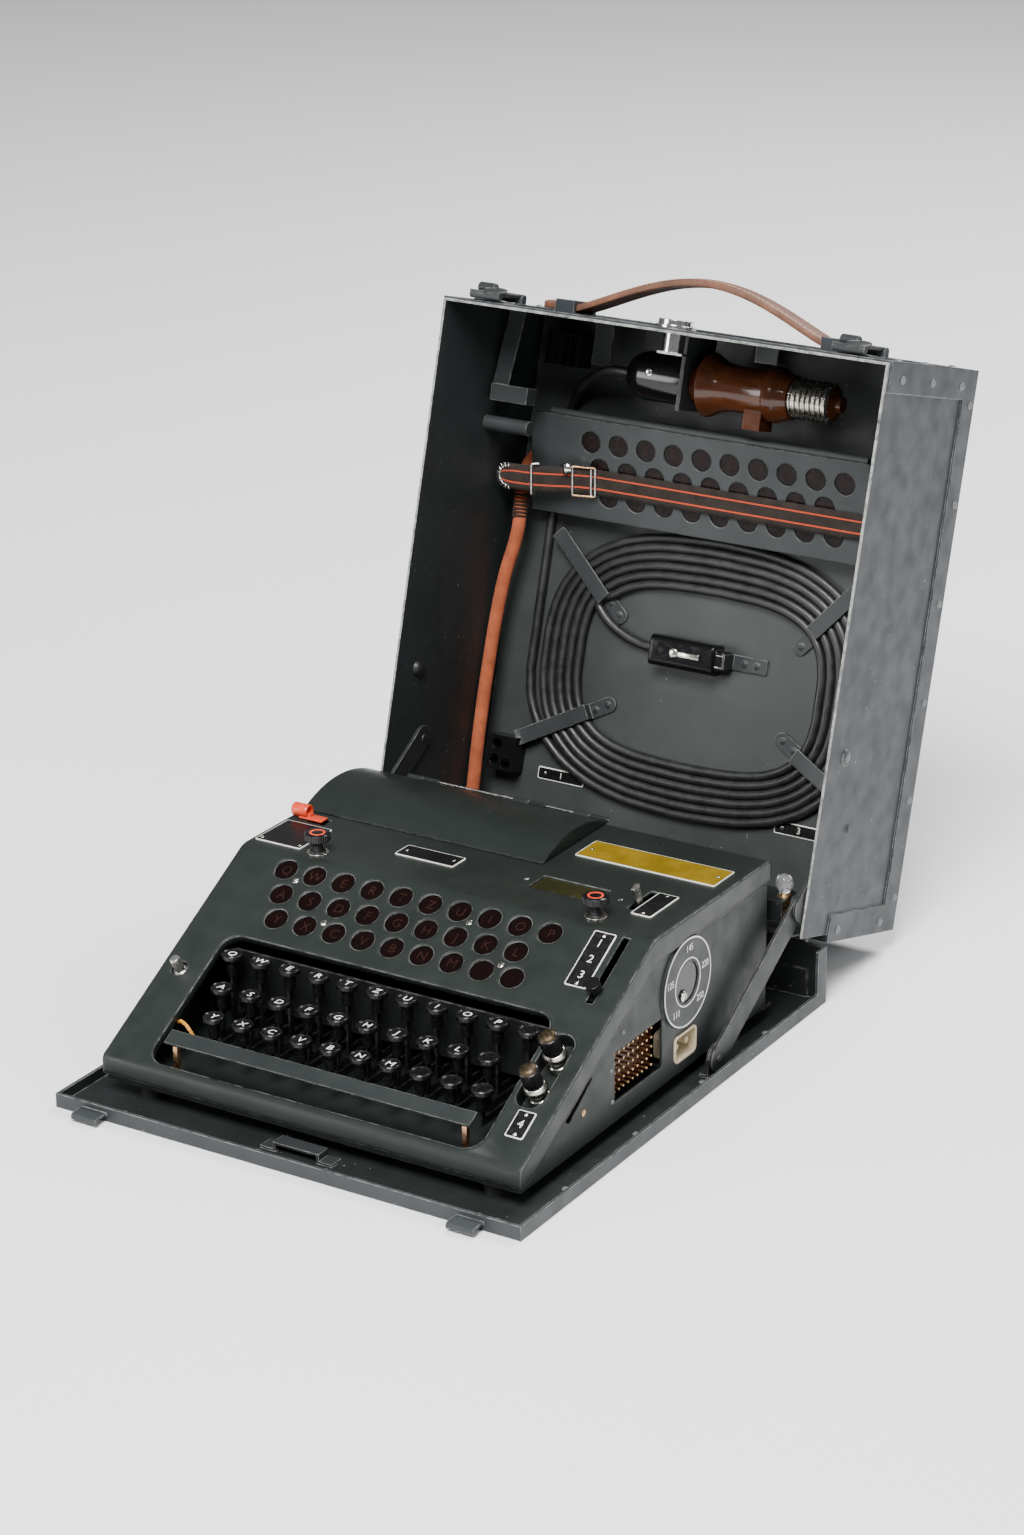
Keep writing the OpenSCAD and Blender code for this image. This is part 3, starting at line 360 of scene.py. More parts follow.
@dataclass(frozen=True)
class Paint(Finish):
    """Satin paint on sheet metal, pale along its edges from rubbed wear, and on the hood and rivets also a
    painted highlight.
    """

    roughness: float = 0.42
    wear_and_highlight: float = 0.6
    worn: Colour = (0.42, 0.43, 0.40)
    chips: float = 0.0
    edge: float = 0.0009
    soften: float = 0.0012
    dust: float = 0.10

    def build(self, graph: Graph) -> bpy.types.Material:
        """Mottle the paint, lighten its edges with rubbed wear and painted highlight, and chip it.

        Args:
            graph: The material's empty graph.

        Returns:
            The material.
        """
        cloud = graph.noise(14, 4, 0.6)
        colour = graph.ramp(cloud, [(0.30, self.tint(0.84)), (0.72, self.tint(1.16))])
        near, _ = graph.edges(self.edge)
        rounded = graph.add("ShaderNodeBevel", {"Radius": self.soften}, samples=6).outputs[0]
        # Pale edges: rubbed wear, and on the hood and the rivets also a painted highlight.
        patch = graph.step(graph.noise(160, 5, 0.65), 0.52 - 0.24 * self.wear_and_highlight, 0.60)
        rubbed_and_highlit = graph.sum("MULTIPLY", near, patch)
        rubbed_and_highlit = graph.sum("MULTIPLY", rubbed_and_highlit, min(1.0, 0.35 + self.wear_and_highlight))
        colour = graph.mix(rubbed_and_highlit, colour, self.worn)
        if self.chips > 0:
            speck = graph.step(graph.noise(420, 3, 0.5), 0.735 - 0.05 * self.chips, 0.76)
            speck = graph.sum("MULTIPLY", speck, graph.step(graph.noise(30, 2), 0.45, 0.6))
            colour = graph.mix(speck, colour, self.worn)
        streak = graph.step(graph.noise(55, 5, 0.7, graph.scaled((1, 1, 0.12), 20)), 0.5, 0.9)
        colour = graph.mix(graph.sum("MULTIPLY", streak, self.dust), colour, self.tint(2.2))
        rough = graph.step(graph.noise(70, 4), 0.3, 0.75, (self.roughness - 0.06, self.roughness + 0.14))
        grain = graph.sum("ADD", graph.noise(1400, 2), graph.sum("MULTIPLY", graph.noise(260, 3), 0.8))
        graph.bump(grain, 0.00004, 0.5, rounded)
        return graph.shade(Base_Color=colour, Roughness=rough, Specular_IOR_Level=0.30)


@dataclass(frozen=True)
class Metal(Finish):
    """Bare or plated metal with a little tarnish."""

    roughness: float = 0.28
    tarnish: float = 0.35

    def build(self, graph: Graph) -> bpy.types.Material:
        """Tarnish the metal unevenly and polish its edges.

        Args:
            graph: The material's empty graph.

        Returns:
            The material.
        """
        cloud = graph.noise(220, 5, 0.6)
        colour = graph.ramp(cloud, [(0.35, self.tint(1 - self.tarnish)), (0.62, self.tint(1.08))])
        near, rounded = graph.edges(0.0005)
        colour = graph.mix(graph.sum("MULTIPLY", near, 0.5), colour, self.tint(1.35))
        rough = graph.step(graph.noise(500, 4), 0.3, 0.7, (self.roughness * 0.7, self.roughness * 1.5))
        graph.bump(graph.noise(900, 3), 0.00003, 0.4, rounded)
        return graph.shade(Base_Color=colour, Roughness=rough, Metallic=1.0)


@dataclass(frozen=True)
class Moulding(Finish):
    """Moulded plastic or bakelite, plain or with a swirl through it."""

    roughness: float = 0.25
    swirl: float = 0.0
    swirl_colour: Colour = (0.3, 0.12, 0.04)
    soften: float = 0.0005
    shine: float = 0.45

    def build(self, graph: Graph) -> bpy.types.Material:
        """Swirl and scuff the moulding, with soft edges.

        Args:
            graph: The material's empty graph.

        Returns:
            The material.
        """
        cloud = graph.noise(60, 5, 0.6)
        colour = graph.ramp(cloud, [(0.35, self.tint(0.8)), (0.7, self.tint(1.25))])
        if self.swirl > 0:
            veins = graph.noise(70, 6, 0.7, graph.scaled((0.5, 1.5, 1.0), 35))
            colour = graph.mix(graph.step(veins, 0.47, 0.62, (0, self.swirl)), colour, self.swirl_colour)
        near, _ = graph.edges(0.0004)
        rounded = graph.add("ShaderNodeBevel", {"Radius": self.soften}, samples=6).outputs[0]
        colour = graph.mix(graph.sum("MULTIPLY", near, 0.25), colour, self.tint(3.0))
        rough = graph.step(graph.noise(350, 4), 0.35, 0.75, (self.roughness * 0.75, self.roughness * 1.7))
        graph.bump(graph.noise(700, 3), 0.00003, 0.3, rounded)
        return graph.shade(Base_Color=colour, Roughness=rough, Specular_IOR_Level=self.shine)


@dataclass(frozen=True)
class Rubber(Finish):
    """Smooth black rubber sheath with a bloom on it."""

    def build(self, graph: Graph) -> bpy.types.Material:
        """Ripple the sheath a little and bloom it.

        Args:
            graph: The material's empty graph.

        Returns:
            The material.
        """
        cloud = graph.noise(90, 4, 0.6)
        colour = graph.ramp(cloud, [(0.35, self.tint(0.75)), (0.7, self.tint(1.5))])
        rough = graph.step(graph.noise(180, 3), 0.3, 0.7, (0.34, 0.55))
        graph.bump(graph.noise(130, 3), 0.0003, 0.5)
        return graph.shade(Base_Color=colour, Roughness=rough)


@dataclass(frozen=True)
class Leather(Finish):
    """Tan leather, darker where it is handled, with pores."""

    def build(self, graph: Graph) -> bpy.types.Material:
        """Grain, crease and darken the leather.

        Args:
            graph: The material's empty graph.

        Returns:
            The material.
        """
        cloud = graph.noise(55, 5, 0.65)
        colour = graph.ramp(cloud, [(0.32, self.tint(0.55)), (0.7, self.tint(1.35))])
        near, rounded = graph.edges(0.0011)
        colour = graph.mix(graph.sum("MULTIPLY", near, 0.7), colour, self.tint(0.45))
        pores = graph.add("ShaderNodeTexVoronoi", {"Vector": graph.place, "Scale": 900}).outputs["Distance"]
        creases = graph.noise(300, 5, 0.7, graph.scaled((3, 1, 1)))
        graph.bump(graph.sum("ADD", pores, creases), 0.00025, 0.6, rounded)
        rough = graph.step(cloud, 0.3, 0.7, (0.62, 0.38))
        return graph.shade(Base_Color=colour, Roughness=rough)


@dataclass(frozen=True)
class Braid(Finish):
    """Plaited textile sleeve that follows a cord's own UV map."""

    across: float = 14.0
    along: float = 160.0
    shadow: float = 0.35

    def build(self, graph: Graph) -> bpy.types.Material:
        """Cross two sets of threads along the cord.

        Args:
            graph: The material's empty graph.

        Returns:
            The material.
        """
        uv = graph.add("ShaderNodeUVMap").outputs[0]
        threads = []
        for turn in (1, -1):
            skew = graph.add(
                "ShaderNodeVectorMath",
                {0: uv, 1: (self.along, turn * self.across, 0)},
                operation="DOT_PRODUCT",
            ).outputs["Value"]
            wave = graph.sum("SINE", graph.sum("MULTIPLY", skew, 2 * math.pi), 0)
            threads.append(graph.sum("ABSOLUTE", wave, 0))
        weave = graph.sum("MAXIMUM", threads[0], threads[1])
        cloud = graph.noise(70, 4, 0.6)
        colour = graph.ramp(cloud, [(0.3, self.tint(0.7)), (0.72, self.tint(1.25))])
        colour = graph.mix(graph.step(weave, 0.35, 0.95, (self.shadow, 0)), colour, self.tint(0.25))
        graph.bump(weave, 0.0005, 0.9)
        return graph.shade(Base_Color=colour, Roughness=0.85, Specular_IOR_Level=0.12, Sheen_Weight=0.05)


@dataclass(frozen=True)
class Webbing(Finish):
    """Woven tape with two coloured stripes, on the tape's own UV map."""

    stripe: Colour = (0.62, 0.10, 0.05)
    stripes: tuple[float, float] = (0.27, 0.73)
    half_stripe: float = 0.034
    length: float = 300.0

    def build(self, graph: Graph) -> bpy.types.Material:
        """Weave the tape and colour its stripes.

        Args:
            graph: The material's empty graph.

        Returns:
            The material.
        """
        uv = graph.add("ShaderNodeSeparateXYZ", {0: graph.add("ShaderNodeUVMap").outputs[0]})
        along, across = uv.outputs[0], uv.outputs[1]
        colour = graph.ramp(graph.noise(120, 4), [(0.3, self.tint(0.7)), (0.7, self.tint(1.3))])
        for place in self.stripes:
            far = graph.sum("ABSOLUTE", graph.sum("SUBTRACT", across, place), 0)
            inside = graph.step(far, self.half_stripe, self.half_stripe * 0.8)
            colour = graph.mix(inside, colour, self.stripe)
        warp = graph.sum("ABSOLUTE", graph.sum("SINE", graph.sum("MULTIPLY", across, 60.0), 0), 0)
        weft = graph.sum("ABSOLUTE", graph.sum("SINE", graph.sum("MULTIPLY", along, self.length * 3.0), 0), 0)
        weave = graph.sum("MULTIPLY", warp, weft)
        # Painted shade in the gaps between the threads.
        colour = graph.mix(graph.step(weave, 0.0, 0.5, (0.45, 0)), colour, self.tint(0.3))
        graph.bump(weave, 0.0003, 0.8)
        return graph.shade(Base_Color=colour, Roughness=0.88, Specular_IOR_Level=0.2, Sheen_Weight=0.05)


@dataclass(frozen=True)
class Glass(Finish):
    """Clear bulb glass."""

    def build(self, graph: Graph) -> bpy.types.Material:
        """Cloud the glass a little.

        Args:
            graph: The material's empty graph.

        Returns:
            The material.
        """
        rough = graph.step(graph.noise(200, 3), 0.3, 0.7, (0.02, 0.10))
        graph.shade(Base_Color=graph.ramp(graph.noise(90, 2), [(0.3, self.tint(0.9)), (0.7, self.colour)]))
        return graph.shade(Roughness=rough, Transmission_Weight=0.9, IOR=1.46)


class Coat:
    """The finishes of this machine."""

    # The hood's pale edge colour is partly rubbed wear and partly a painted highlight along its rounded
    # edges.
    HOOD = Paint(
        "hood_grey_green", (0.0150, 0.0190, 0.0168),
        roughness=0.33, wear_and_highlight=0.55, worn=(0.30, 0.31, 0.29), edge=0.0013, soften=0.0035,
    )
    FLAP = Paint(
        "rotor_cover_paint", (0.0150, 0.0190, 0.0168),
        roughness=0.31, wear_and_highlight=0.08, worn=(0.10, 0.11, 0.10), soften=0.002,
    )
    BODY = Paint("body_grey_green", (0.0165, 0.0195, 0.019), wear_and_highlight=0.35, worn=(0.2, 0.2, 0.19))
    COVER_OUT = Paint(
        "cover_outside_grey", (0.027, 0.031, 0.036), chips=0.4, worn=(0.36, 0.37, 0.34)
    )
    COVER_RIM = Paint(
        "cover_rim_chipped", (0.036, 0.040, 0.042),
        roughness=0.5, wear_and_highlight=1.0, chips=2.6, worn=(0.62, 0.63, 0.58), edge=0.0026,
    )
    COVER_IN = Paint(
        "cover_inside_dark", (0.018, 0.0215, 0.0215),
        roughness=0.45, wear_and_highlight=0.35, chips=0.4, worn=(0.30, 0.31, 0.28),
    )
    COVER_BACK = Paint(
        "cover_back_panel", (0.034, 0.039, 0.036),
        roughness=0.40, wear_and_highlight=0.2, chips=0.2, worn=(0.26, 0.27, 0.24),
    )
    TRAY_IN = Paint(
        "tray_floor_dark", (0.014, 0.0165, 0.016), wear_and_highlight=0.5, chips=1.0, worn=(0.34, 0.34, 0.30)
    )
    TRAY_RIM = Paint(
        "tray_rim_grey", (0.031, 0.035, 0.037), wear_and_highlight=0.7, chips=0.7, worn=(0.38, 0.39, 0.36)
    )
    FITTING = Paint("fitting_grey", (0.026, 0.029, 0.030), roughness=0.38, worn=(0.34, 0.34, 0.31))
    STAY = Paint("stay_grey", (0.017, 0.019, 0.019), worn=(0.30, 0.30, 0.28))
    LAMP_BOX = Paint(
        "lamp_box_dark", (0.034, 0.038, 0.038), roughness=0.40, wear_and_highlight=0.45, worn=(0.22, 0.23, 0.22)
    )
    # Light, nickel-like colour with pale rims: partly the rivets' own metal, partly a painted highlight on
    # their domes.
    RIVET = Paint(
        "rivet_paint_and_highlight", (0.12, 0.125, 0.13),
        roughness=0.25, wear_and_highlight=1.0, worn=(0.6, 0.6, 0.56), edge=0.0006,
    )
    BLACKED = Paint(
        "blacked_steel", (0.008, 0.009, 0.009), roughness=0.34, wear_and_highlight=0.4, worn=(0.20, 0.20, 0.19)
    )
    GUARD = Paint(
        "guard_bar", (0.020, 0.024, 0.023), roughness=0.30, worn=(0.24, 0.25, 0.24), soften=0.002
    )
    DISC = Paint("disc_grey", (0.024, 0.0265, 0.028), roughness=0.4, wear_and_highlight=0.2)
    WORKS = Metal("works_steel", (0.085, 0.088, 0.09), roughness=0.42, tarnish=0.5)
    STEEL = Metal("bare_steel", (0.52, 0.51, 0.48), roughness=0.30)
    NICKEL = Metal("nickel_plate", (0.66, 0.63, 0.56), roughness=0.2, tarnish=0.3)
    CHROME = Metal("chrome_plate", (0.75, 0.74, 0.70), roughness=0.12, tarnish=0.12)
    COPPER = Metal("copper_post", (0.72, 0.43, 0.24), roughness=0.32)
    BRASS = Metal("brass_pin", (0.66, 0.46, 0.22), roughness=0.3)
    WORN_BRASS = Metal("worn_brass_top", (0.085, 0.064, 0.040), roughness=0.42)
    KEY_CAP = Moulding("key_cap_black", (0.0045, 0.0045, 0.005), roughness=0.22)
    BLACK = Moulding("black_bakelite", (0.005, 0.005, 0.0055), roughness=0.13)
    PLUG = Moulding("plug_bakelite_black", (0.004, 0.004, 0.0045), roughness=0.10, soften=0.0028)
    BROWN = Moulding(
        "brown_bakelite", (0.060, 0.017, 0.0055),
        roughness=0.13, swirl=0.35, swirl_colour=(0.11, 0.035, 0.011),
    )
    LAMP_RED = Moulding("lamp_disc_red", (0.0048, 0.0016, 0.0014), roughness=0.18, shine=0.18)
    LAMP_RED_DIM = Moulding("lamp_disc_dim", (0.006, 0.0032, 0.0028), roughness=0.26, shine=0.15)
    PIN_RED = Moulding("pin_board_red", (0.055, 0.012, 0.009), roughness=0.3)
    SIGNAL_RED = Moulding("signal_red", (0.66, 0.055, 0.018), roughness=0.3)
    CREAM = Moulding(
        "cream_insulator", (0.52, 0.44, 0.30), roughness=0.4, swirl=0.3, swirl_colour=(0.4, 0.3, 0.18)
    )
    COUNTER = Moulding("counter_window", (0.022, 0.022, 0.008), roughness=0.06)
    THREAD = Moulding("handle_thread", (0.42, 0.26, 0.15), roughness=0.8)
    INK = Moulding("white_ink", (0.80, 0.80, 0.76), roughness=0.5)
    FAINT = Moulding("faint_letter", (0.022, 0.008, 0.006), roughness=0.3, shine=0.15)
    PLATE_BLACK = Moulding("plate_black", (0.006, 0.006, 0.0065), roughness=0.3, shine=0.3)
    PLATE_WHITE = Moulding("plate_white", (0.74, 0.73, 0.66), roughness=0.4)
    PLATE_OCHRE = Moulding("plate_ochre", (0.205, 0.130, 0.008), roughness=0.38, shine=0.14)
    WIRE = Moulding("yellow_wire", (0.62, 0.27, 0.03), roughness=0.5)
    RUBBER = Rubber("cord_rubber_black", (0.013, 0.013, 0.0133))
    FOOT = Rubber("foot_rubber", (0.010, 0.010, 0.010))
    LEATHER = Leather("tan_leather", (0.15, 0.060, 0.032))
    BRAID = Braid("cable_braid_red", (0.50, 0.125, 0.052), shadow=0.75)
    WHIPPING = Braid("cable_whipping", (0.055, 0.030, 0.022), across=2.0, along=40.0, shadow=0.6)
    WHIP_RED = Braid("cable_whipping_red", (0.16, 0.030, 0.014), across=2.0, along=40.0, shadow=0.5)
    TAPE = Webbing("strap_tape", (0.030, 0.022, 0.018), stripe=(0.62, 0.085, 0.035))
    BULB = Glass("bulb_glass", (0.92, 0.93, 0.92))


# ---- building pieces ----


BEVEL = {"profile": 0.5, "affect": "EDGES", "material": -1}


class Workpiece:
    """A piece in the making: bmesh parts in millimetres of one frame, each with its finish."""

    def __init__(self, name: str, place: Matrix = WORLD) -> None:
        """Start a piece.

        Args:
            name: The piece's name.
            place: From the frame that its parts are given in, to the row frame.
        """
        self.name, self.place = name, place
        self.bm = bmesh.new()
        self.finishes: list[Finish] = []

    def _keep(self, part: bmesh.types.BMesh, finish: Finish, at: Matrix) -> None:
        """Move a finished part into the piece.

        Args:
            part: The part, which is used up.
            finish: Its finish.
            at: From the part's frame to the piece's.
        """
        if finish not in self.finishes:
            self.finishes.append(finish)
        bmesh.ops.recalc_face_normals(part, faces=part.faces)
        bmesh.ops.transform(part, matrix=at, verts=part.verts)
        if at.determinant() < 0:
            bmesh.ops.reverse_faces(part, faces=part.faces)
        for face in part.faces:
            face.material_index = self.finishes.index(finish)
        mesh = bpy.data.meshes.new("part")
        part.to_mesh(mesh)
        part.free()
        self.bm.from_mesh(mesh)
        bpy.data.meshes.remove(mesh)

    def add(self, part: bmesh.types.BMesh, finish: Finish, at: Matrix | None = None) -> None:
        """Add a part made elsewhere, which is used up."""
        self._keep(part, finish, at or Matrix.Identity(4))

    def box(
        self,
        low: Sequence[float],
        high: Sequence[float],
        finish: Finish,
        bevel: float = 0.3,
        at: Matrix | None = None,
    ) -> None:
        """Add a block with rounded edges.

        Args:
            low: Its lowest corner.
            high: Its highest corner.
            finish: Its finish.
            bevel: Radius of its edges.
            at: From the block's frame to the piece's.
        """
        part = bmesh.new()
        low, high = Vector(low), Vector(high)
        bmesh.ops.create_cube(part, size=1)
        bmesh.ops.scale(part, vec=high - low, verts=part.verts)
        bmesh.ops.translate(part, vec=(high + low) / 2, verts=part.verts)
        if bevel > 0:
            bmesh.ops.bevel(part, geom=part.edges[:], offset=bevel, segments=2, clamp_overlap=True, **BEVEL)
        self._keep(part, finish, at or Matrix.Identity(4))

    def turned(self, profile: Sequence[Spot], finish: Finish, at: Matrix, segments: int = 32) -> None:
        """Add a turned shape.

        Args:
            profile: Radius and height of each point of the section.
            finish: Its finish.
            at: From the shape's frame, whose axis is Z, to the piece's.
            segments: Steps round the axis.
        """
        part = bmesh.new()
        points = [part.verts.new((max(r, 0.0), 0, h)) for r, h in profile]
        edges = [part.edges.new(pair) for pair in zip(points, points[1:])]
        bmesh.ops.spin(
            part,
            geom=points + edges,
            cent=(0, 0, 0),
            axis=(0, 0, 1),
            angle=2 * math.pi,
            steps=segments,
            use_merge=True,
        )
        bmesh.ops.remove_doubles(part, verts=part.verts, dist=1e-4)
        self._keep(part, finish, at)

    def rod(
        self,
        start: Sequence[float],
        end: Sequence[float],
        radius: float,
        finish: Finish,
        bevel: float = 0.2,
        segments: int = 20,
    ) -> None:
        """Add a round rod.

        Args:
            start: Middle of one end.
            end: Middle of the other end.
            radius: Its radius.
            finish: Its finish.
            bevel: Radius of its two rims.
            segments: Steps round it.
        """
        start, end = Vector(start), Vector(end)
        length = (end - start).length
        at = Matrix.Translation(start) @ (end - start).to_track_quat("Z", "Y").to_matrix().to_4x4()
        near = [(0, 0), (radius - bevel, 0), (radius, bevel)]
        far = [(radius, length - bevel), (radius - bevel, length), (0, length)]
        self.turned(near + far, finish, at, segments)

    def ring(
        self,
        centre: Sequence[float],
        inner: float,
        outer: float,
        low: float,
        high: float,
        finish: Finish,
        segments: int = 64,
    ) -> None:
        """Add a flat ring about the frame's Z.

        Args:
            centre: Middle of the ring.
            inner: Radius of its hole.
            outer: Its own radius.
            low: Height of its underside.
            high: Height of its top.
            finish: Its finish.
            segments: Steps round it.
        """
        profile = [(inner, low), (inner, high), (outer, high), (outer, low), (inner, low)]
        self.turned(profile, finish, Matrix.Translation(centre), segments)

    def plate(self, size: Spot, thick: float, corner: float, finish: Finish, low: float = 0.0) -> None:
        """Add a flat plate with round corners about the frame's origin.

        Args:
            size: Its width and height.
            thick: Its thickness.
            corner: Radius of its corners.
            finish: Its finish.
            low: Height of its underside.
        """
        part = bmesh.new()
        bmesh.ops.create_cube(part, size=1)
        bmesh.ops.scale(part, vec=(*size, thick), verts=part.verts)
        upright = [e for e in part.edges if abs(e.verts[0].co.z - e.verts[1].co.z) > thick / 2]
        bmesh.ops.bevel(part, geom=upright, offset=corner, segments=5, **BEVEL)
        rim = [e for e in part.edges if e.verts[0].co.z > 0 and e.verts[1].co.z > 0 and e.is_manifold]
        rim = [e for e in rim if any(abs(f.normal.z) < 0.5 for f in e.link_faces)]
        bmesh.ops.bevel(part, geom=rim, offset=min(0.15, thick / 3), segments=1, **BEVEL)
        self._keep(part, finish, Matrix.Translation((0, 0, low + thick / 2)))

    def slotted_screw(
        self, centre: Sequence[float], radius: float, finish: Finish, height: float = 0.9, turn: float = 30.0
    ) -> None:
        """Add a raised screw head with its slot, on the frame's Z.

        Args:
            centre: Middle of its underside.
            radius: Its radius.
            finish: Its finish.
            height: Its height.
            turn: Turn of the slot in degrees.
        """
        at = Matrix.Translation(centre)
        foot = [(0, 0), (radius, 0), (radius, height * 0.35)]
        crown = [(radius * 0.75, height * 0.85), (radius * 0.3, height), (0, height)]
        self.turned(foot + crown, finish, at, 24)
        slot = Vector((radius * 0.86, radius * 0.11, height * 0.62))
        at = at @ Matrix.Rotation(math.radians(turn), 4, "Z")
        self.box((-slot.x, -slot.y, slot.z), (slot.x, slot.y, height * 1.02), Coat.BLACKED, 0.0, at)

    def text(
        self,
        words: str,
        centre: Point,
        size: float,
        finish: Finish,
        thick: float = 0.06,
        stretch: float = 1.0,
        bold: float = 0.0,
    ) -> None:
        """Add letters or numbers lying on the frame's Z.

        Args:
            words: What is written.
            centre: Middle of its underside.
            size: Height of the letters.
            finish: Its finish.
            thick: How far it stands up.
            stretch: Factor on its width.
            bold: How much wider each stroke is drawn.
        """
        curve = bpy.data.curves.new("letters", "FONT")
        curve.body, curve.size = words, size
        curve.align_x, curve.align_y = "CENTER", "CENTER"
        curve.extrude, curve.resolution_u, curve.offset = thick / 2, 3, bold
        writer = bpy.data.objects.new("letters", curve)
        bpy.context.collection.objects.link(writer)
        bpy.context.view_layer.update()
        drawn = writer.evaluated_get(bpy.context.evaluated_depsgraph_get())
        mesh = bpy.data.meshes.new_from_object(drawn)
        part = bmesh.new()
        part.from_mesh(mesh)
        bpy.data.objects.remove(writer)
        bpy.data.curves.remove(curve)
        bpy.data.meshes.remove(mesh)
        lift = Matrix.Translation((*centre[:2], centre[2] + thick / 2))
        self._keep(part, finish, lift @ Matrix.Diagonal((stretch, 1, 1, 1)))

    def finish(self, body: str, smooth: float = 38.0, replaces: Sequence[str] = ()) -> bpy.types.Object:
        """Turn the parts into one piece that rides on a body.

        Args:
            body: The body's name.
            smooth: Angle in degrees below which edges are shaded round.
            replaces: Solids that the piece stands for.

        Returns:
            The piece.
        """
        bmesh.ops.transform(self.bm, matrix=self.place, verts=self.bm.verts)
        if self.place.determinant() < 0:
            bmesh.ops.reverse_faces(self.bm, faces=self.bm.faces)
        mesh = bpy.data.meshes.new(self.name)
        self.bm.to_mesh(mesh)
        self.bm.free()
        mesh.shade_smooth()
        mesh.set_sharp_from_angle(angle=math.radians(smooth))
        for finish in self.finishes:
            mesh.materials.append(finish.material())
        piece = bpy.data.objects.new(self.name, mesh)
        bpy.context.collection.objects.link(piece)
        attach(piece, body)
        if replaces:
            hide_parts(*replaces)
        log.info("%s: %d faces on %s", self.name, len(mesh.polygons), body)
        return piece


Rule = tuple[Finish, Callable[[Vector], bool]]


def dress(
    node: str, base: Finish, rules: Sequence[Rule] = (), into: Matrix = WORLD, split: float = 32.0
) -> None:
    """Give a solid its finishes and smooth its round faces.

    Args:
        node: The solid's name.
        base: Its main finish.
        rules: Other finishes, each with a test of a face's centre; the last that holds wins.
        into: Frame that the tests read, in millimetres.
        split: Angle in degrees from which an edge stays sharp.
    """
    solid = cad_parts[node]
    mesh = solid.data
    mesh.materials.clear()
    for finish in (base, *(rule[0] for rule in rules)):
        mesh.materials.append(finish.material())
    if rules:
        back = into.inverted()
        picked = []
        for face in mesh.polygons:
            at = back @ face.center
            picked.append(max((i + 1 for i, (_, test) in enumerate(rules) if test(at)), default=0))
        mesh.polygons.foreach_set("material_index", picked)
    mesh.shade_smooth()
    weld = solid.modifiers.new("weld", "WELD")
    weld.merge_threshold = 2e-6
    sharp = solid.modifiers.new("sharp", "EDGE_SPLIT")
    sharp.split_angle = math.radians(split)


# ---- camera, light and floor ----


@dataclass(frozen=True)
class Studio:
    """The photograph's camera, with plain soft light over a pale floor."""

    position: Point = (1138.13, -1754.26, 1003.90)
    azimuth: float = 31.923
    elevation: float = -21.332
    roll: float = -0.472
    lens: float = 88.53
    sky: float = 0.24
    sky_colour: Colour = (0.93, 0.95, 1.0)
    floor_half: float = 20.0
    floor_gap: float = 0.0002
    lights: tuple[tuple[str, Point, Point, float, float], ...] = (
        ("key_light", (0.5, -1.7, 2.7), (0, 0.1, 0.1), 1.5, 215),
        ("left_light", (-2.4, -2.4, 0.9), (0, 0.1, 0.2), 1.3, 48),
        ("side_light", (2.5, -0.2, 1.6), (0.1, 0.1, 0.15), 1.2, 18),
        ("rear_light", (0.3, 2.3, 2.5), (0, 0.1, 0.2), 1.2, 105),
    )

    def camera(self) -> None:
        """Set the camera at the photograph's viewing point."""
        data = bpy.data.cameras.new("photograph")
        data.sensor_fit, data.sensor_height, data.lens = "VERTICAL", 36.0, self.lens
        data.clip_start, data.clip_end = 0.05, 60
        az, el, roll = (math.radians(a) for a in (self.azimuth, self.elevation, self.roll))
        ahead = Vector((-math.sin(az) * math.cos(el), math.cos(az) * math.cos(el), math.sin(el)))
        right = ahead.cross(Vector((0, 0, 1))).normalized()
        up = right.cross(ahead)
        turned = right * math.cos(roll) + up * math.sin(roll)
        upper = up * math.cos(roll) - right * math.sin(roll)
        camera = bpy.data.objects.new("photograph", data)
        rotation = Matrix((turned, upper, -ahead)).transposed().to_4x4()
        camera.matrix_world = Matrix.Translation(Vector(self.position) * MM) @ rotation
        bpy.context.collection.objects.link(camera)
        bpy.context.scene.camera = camera

    def area(self, name: str, place: Point, aim: Point, size: float, power: float) -> None:
        """Hang one square soft light.

        Args:
            name: The light's name.
            place: Where it hangs, in metres.
            aim: The point that it faces.
            size: Length of its sides.
            power: Its power in watts.
        """
        data = bpy.data.lights.new(name, "AREA")
        data.shape, data.size, data.energy = "SQUARE", size, power
        lamp = bpy.data.objects.new(name, data)
        lamp.location = place
        lamp.rotation_euler = (Vector(aim) - Vector(place)).to_track_quat("-Z", "Y").to_euler()
        bpy.context.collection.objects.link(lamp)

    def build(self) -> None:
        """Light the object and lay its floor."""
        world = bpy.data.worlds.new("studio")
        bpy.context.scene.world = world
        world.use_nodes = True
        shine = world.node_tree.nodes["Background"]
        shine.inputs["Color"].default_value = (*self.sky_colour, 1)
        shine.inputs["Strength"].default_value = self.sky
        for light in self.lights:
            self.area(*light)
        sheet = bpy.data.meshes.new("floor")
        bm = bmesh.new()
        bmesh.ops.create_grid(bm, x_segments=1, y_segments=1, size=self.floor_half)
        bm.to_mesh(sheet)
        bm.free()
        floor = bpy.data.objects.new("floor", sheet)
        floor.location.z = -self.floor_gap
        graph = Graph("studio_floor")
        pale = graph.ramp(graph.noise(1.5, 2), [(0.3, (0.94,) * 3), (0.7, (0.96,) * 3)])
        sheet.materials.append(graph.shade(Base_Color=pale, Roughness=0.9))
        bpy.context.collection.objects.link(floor)


# ---- cords in the cover ----


class Lay(Enum):
    """How a cord lies in the cover."""

    COILED = "coiled"
    HANGING = "hanging"


class FarEnd(Enum):
    """What a cord's far end meets."""

    PLUG = "plug"
    OBJECT = "object"


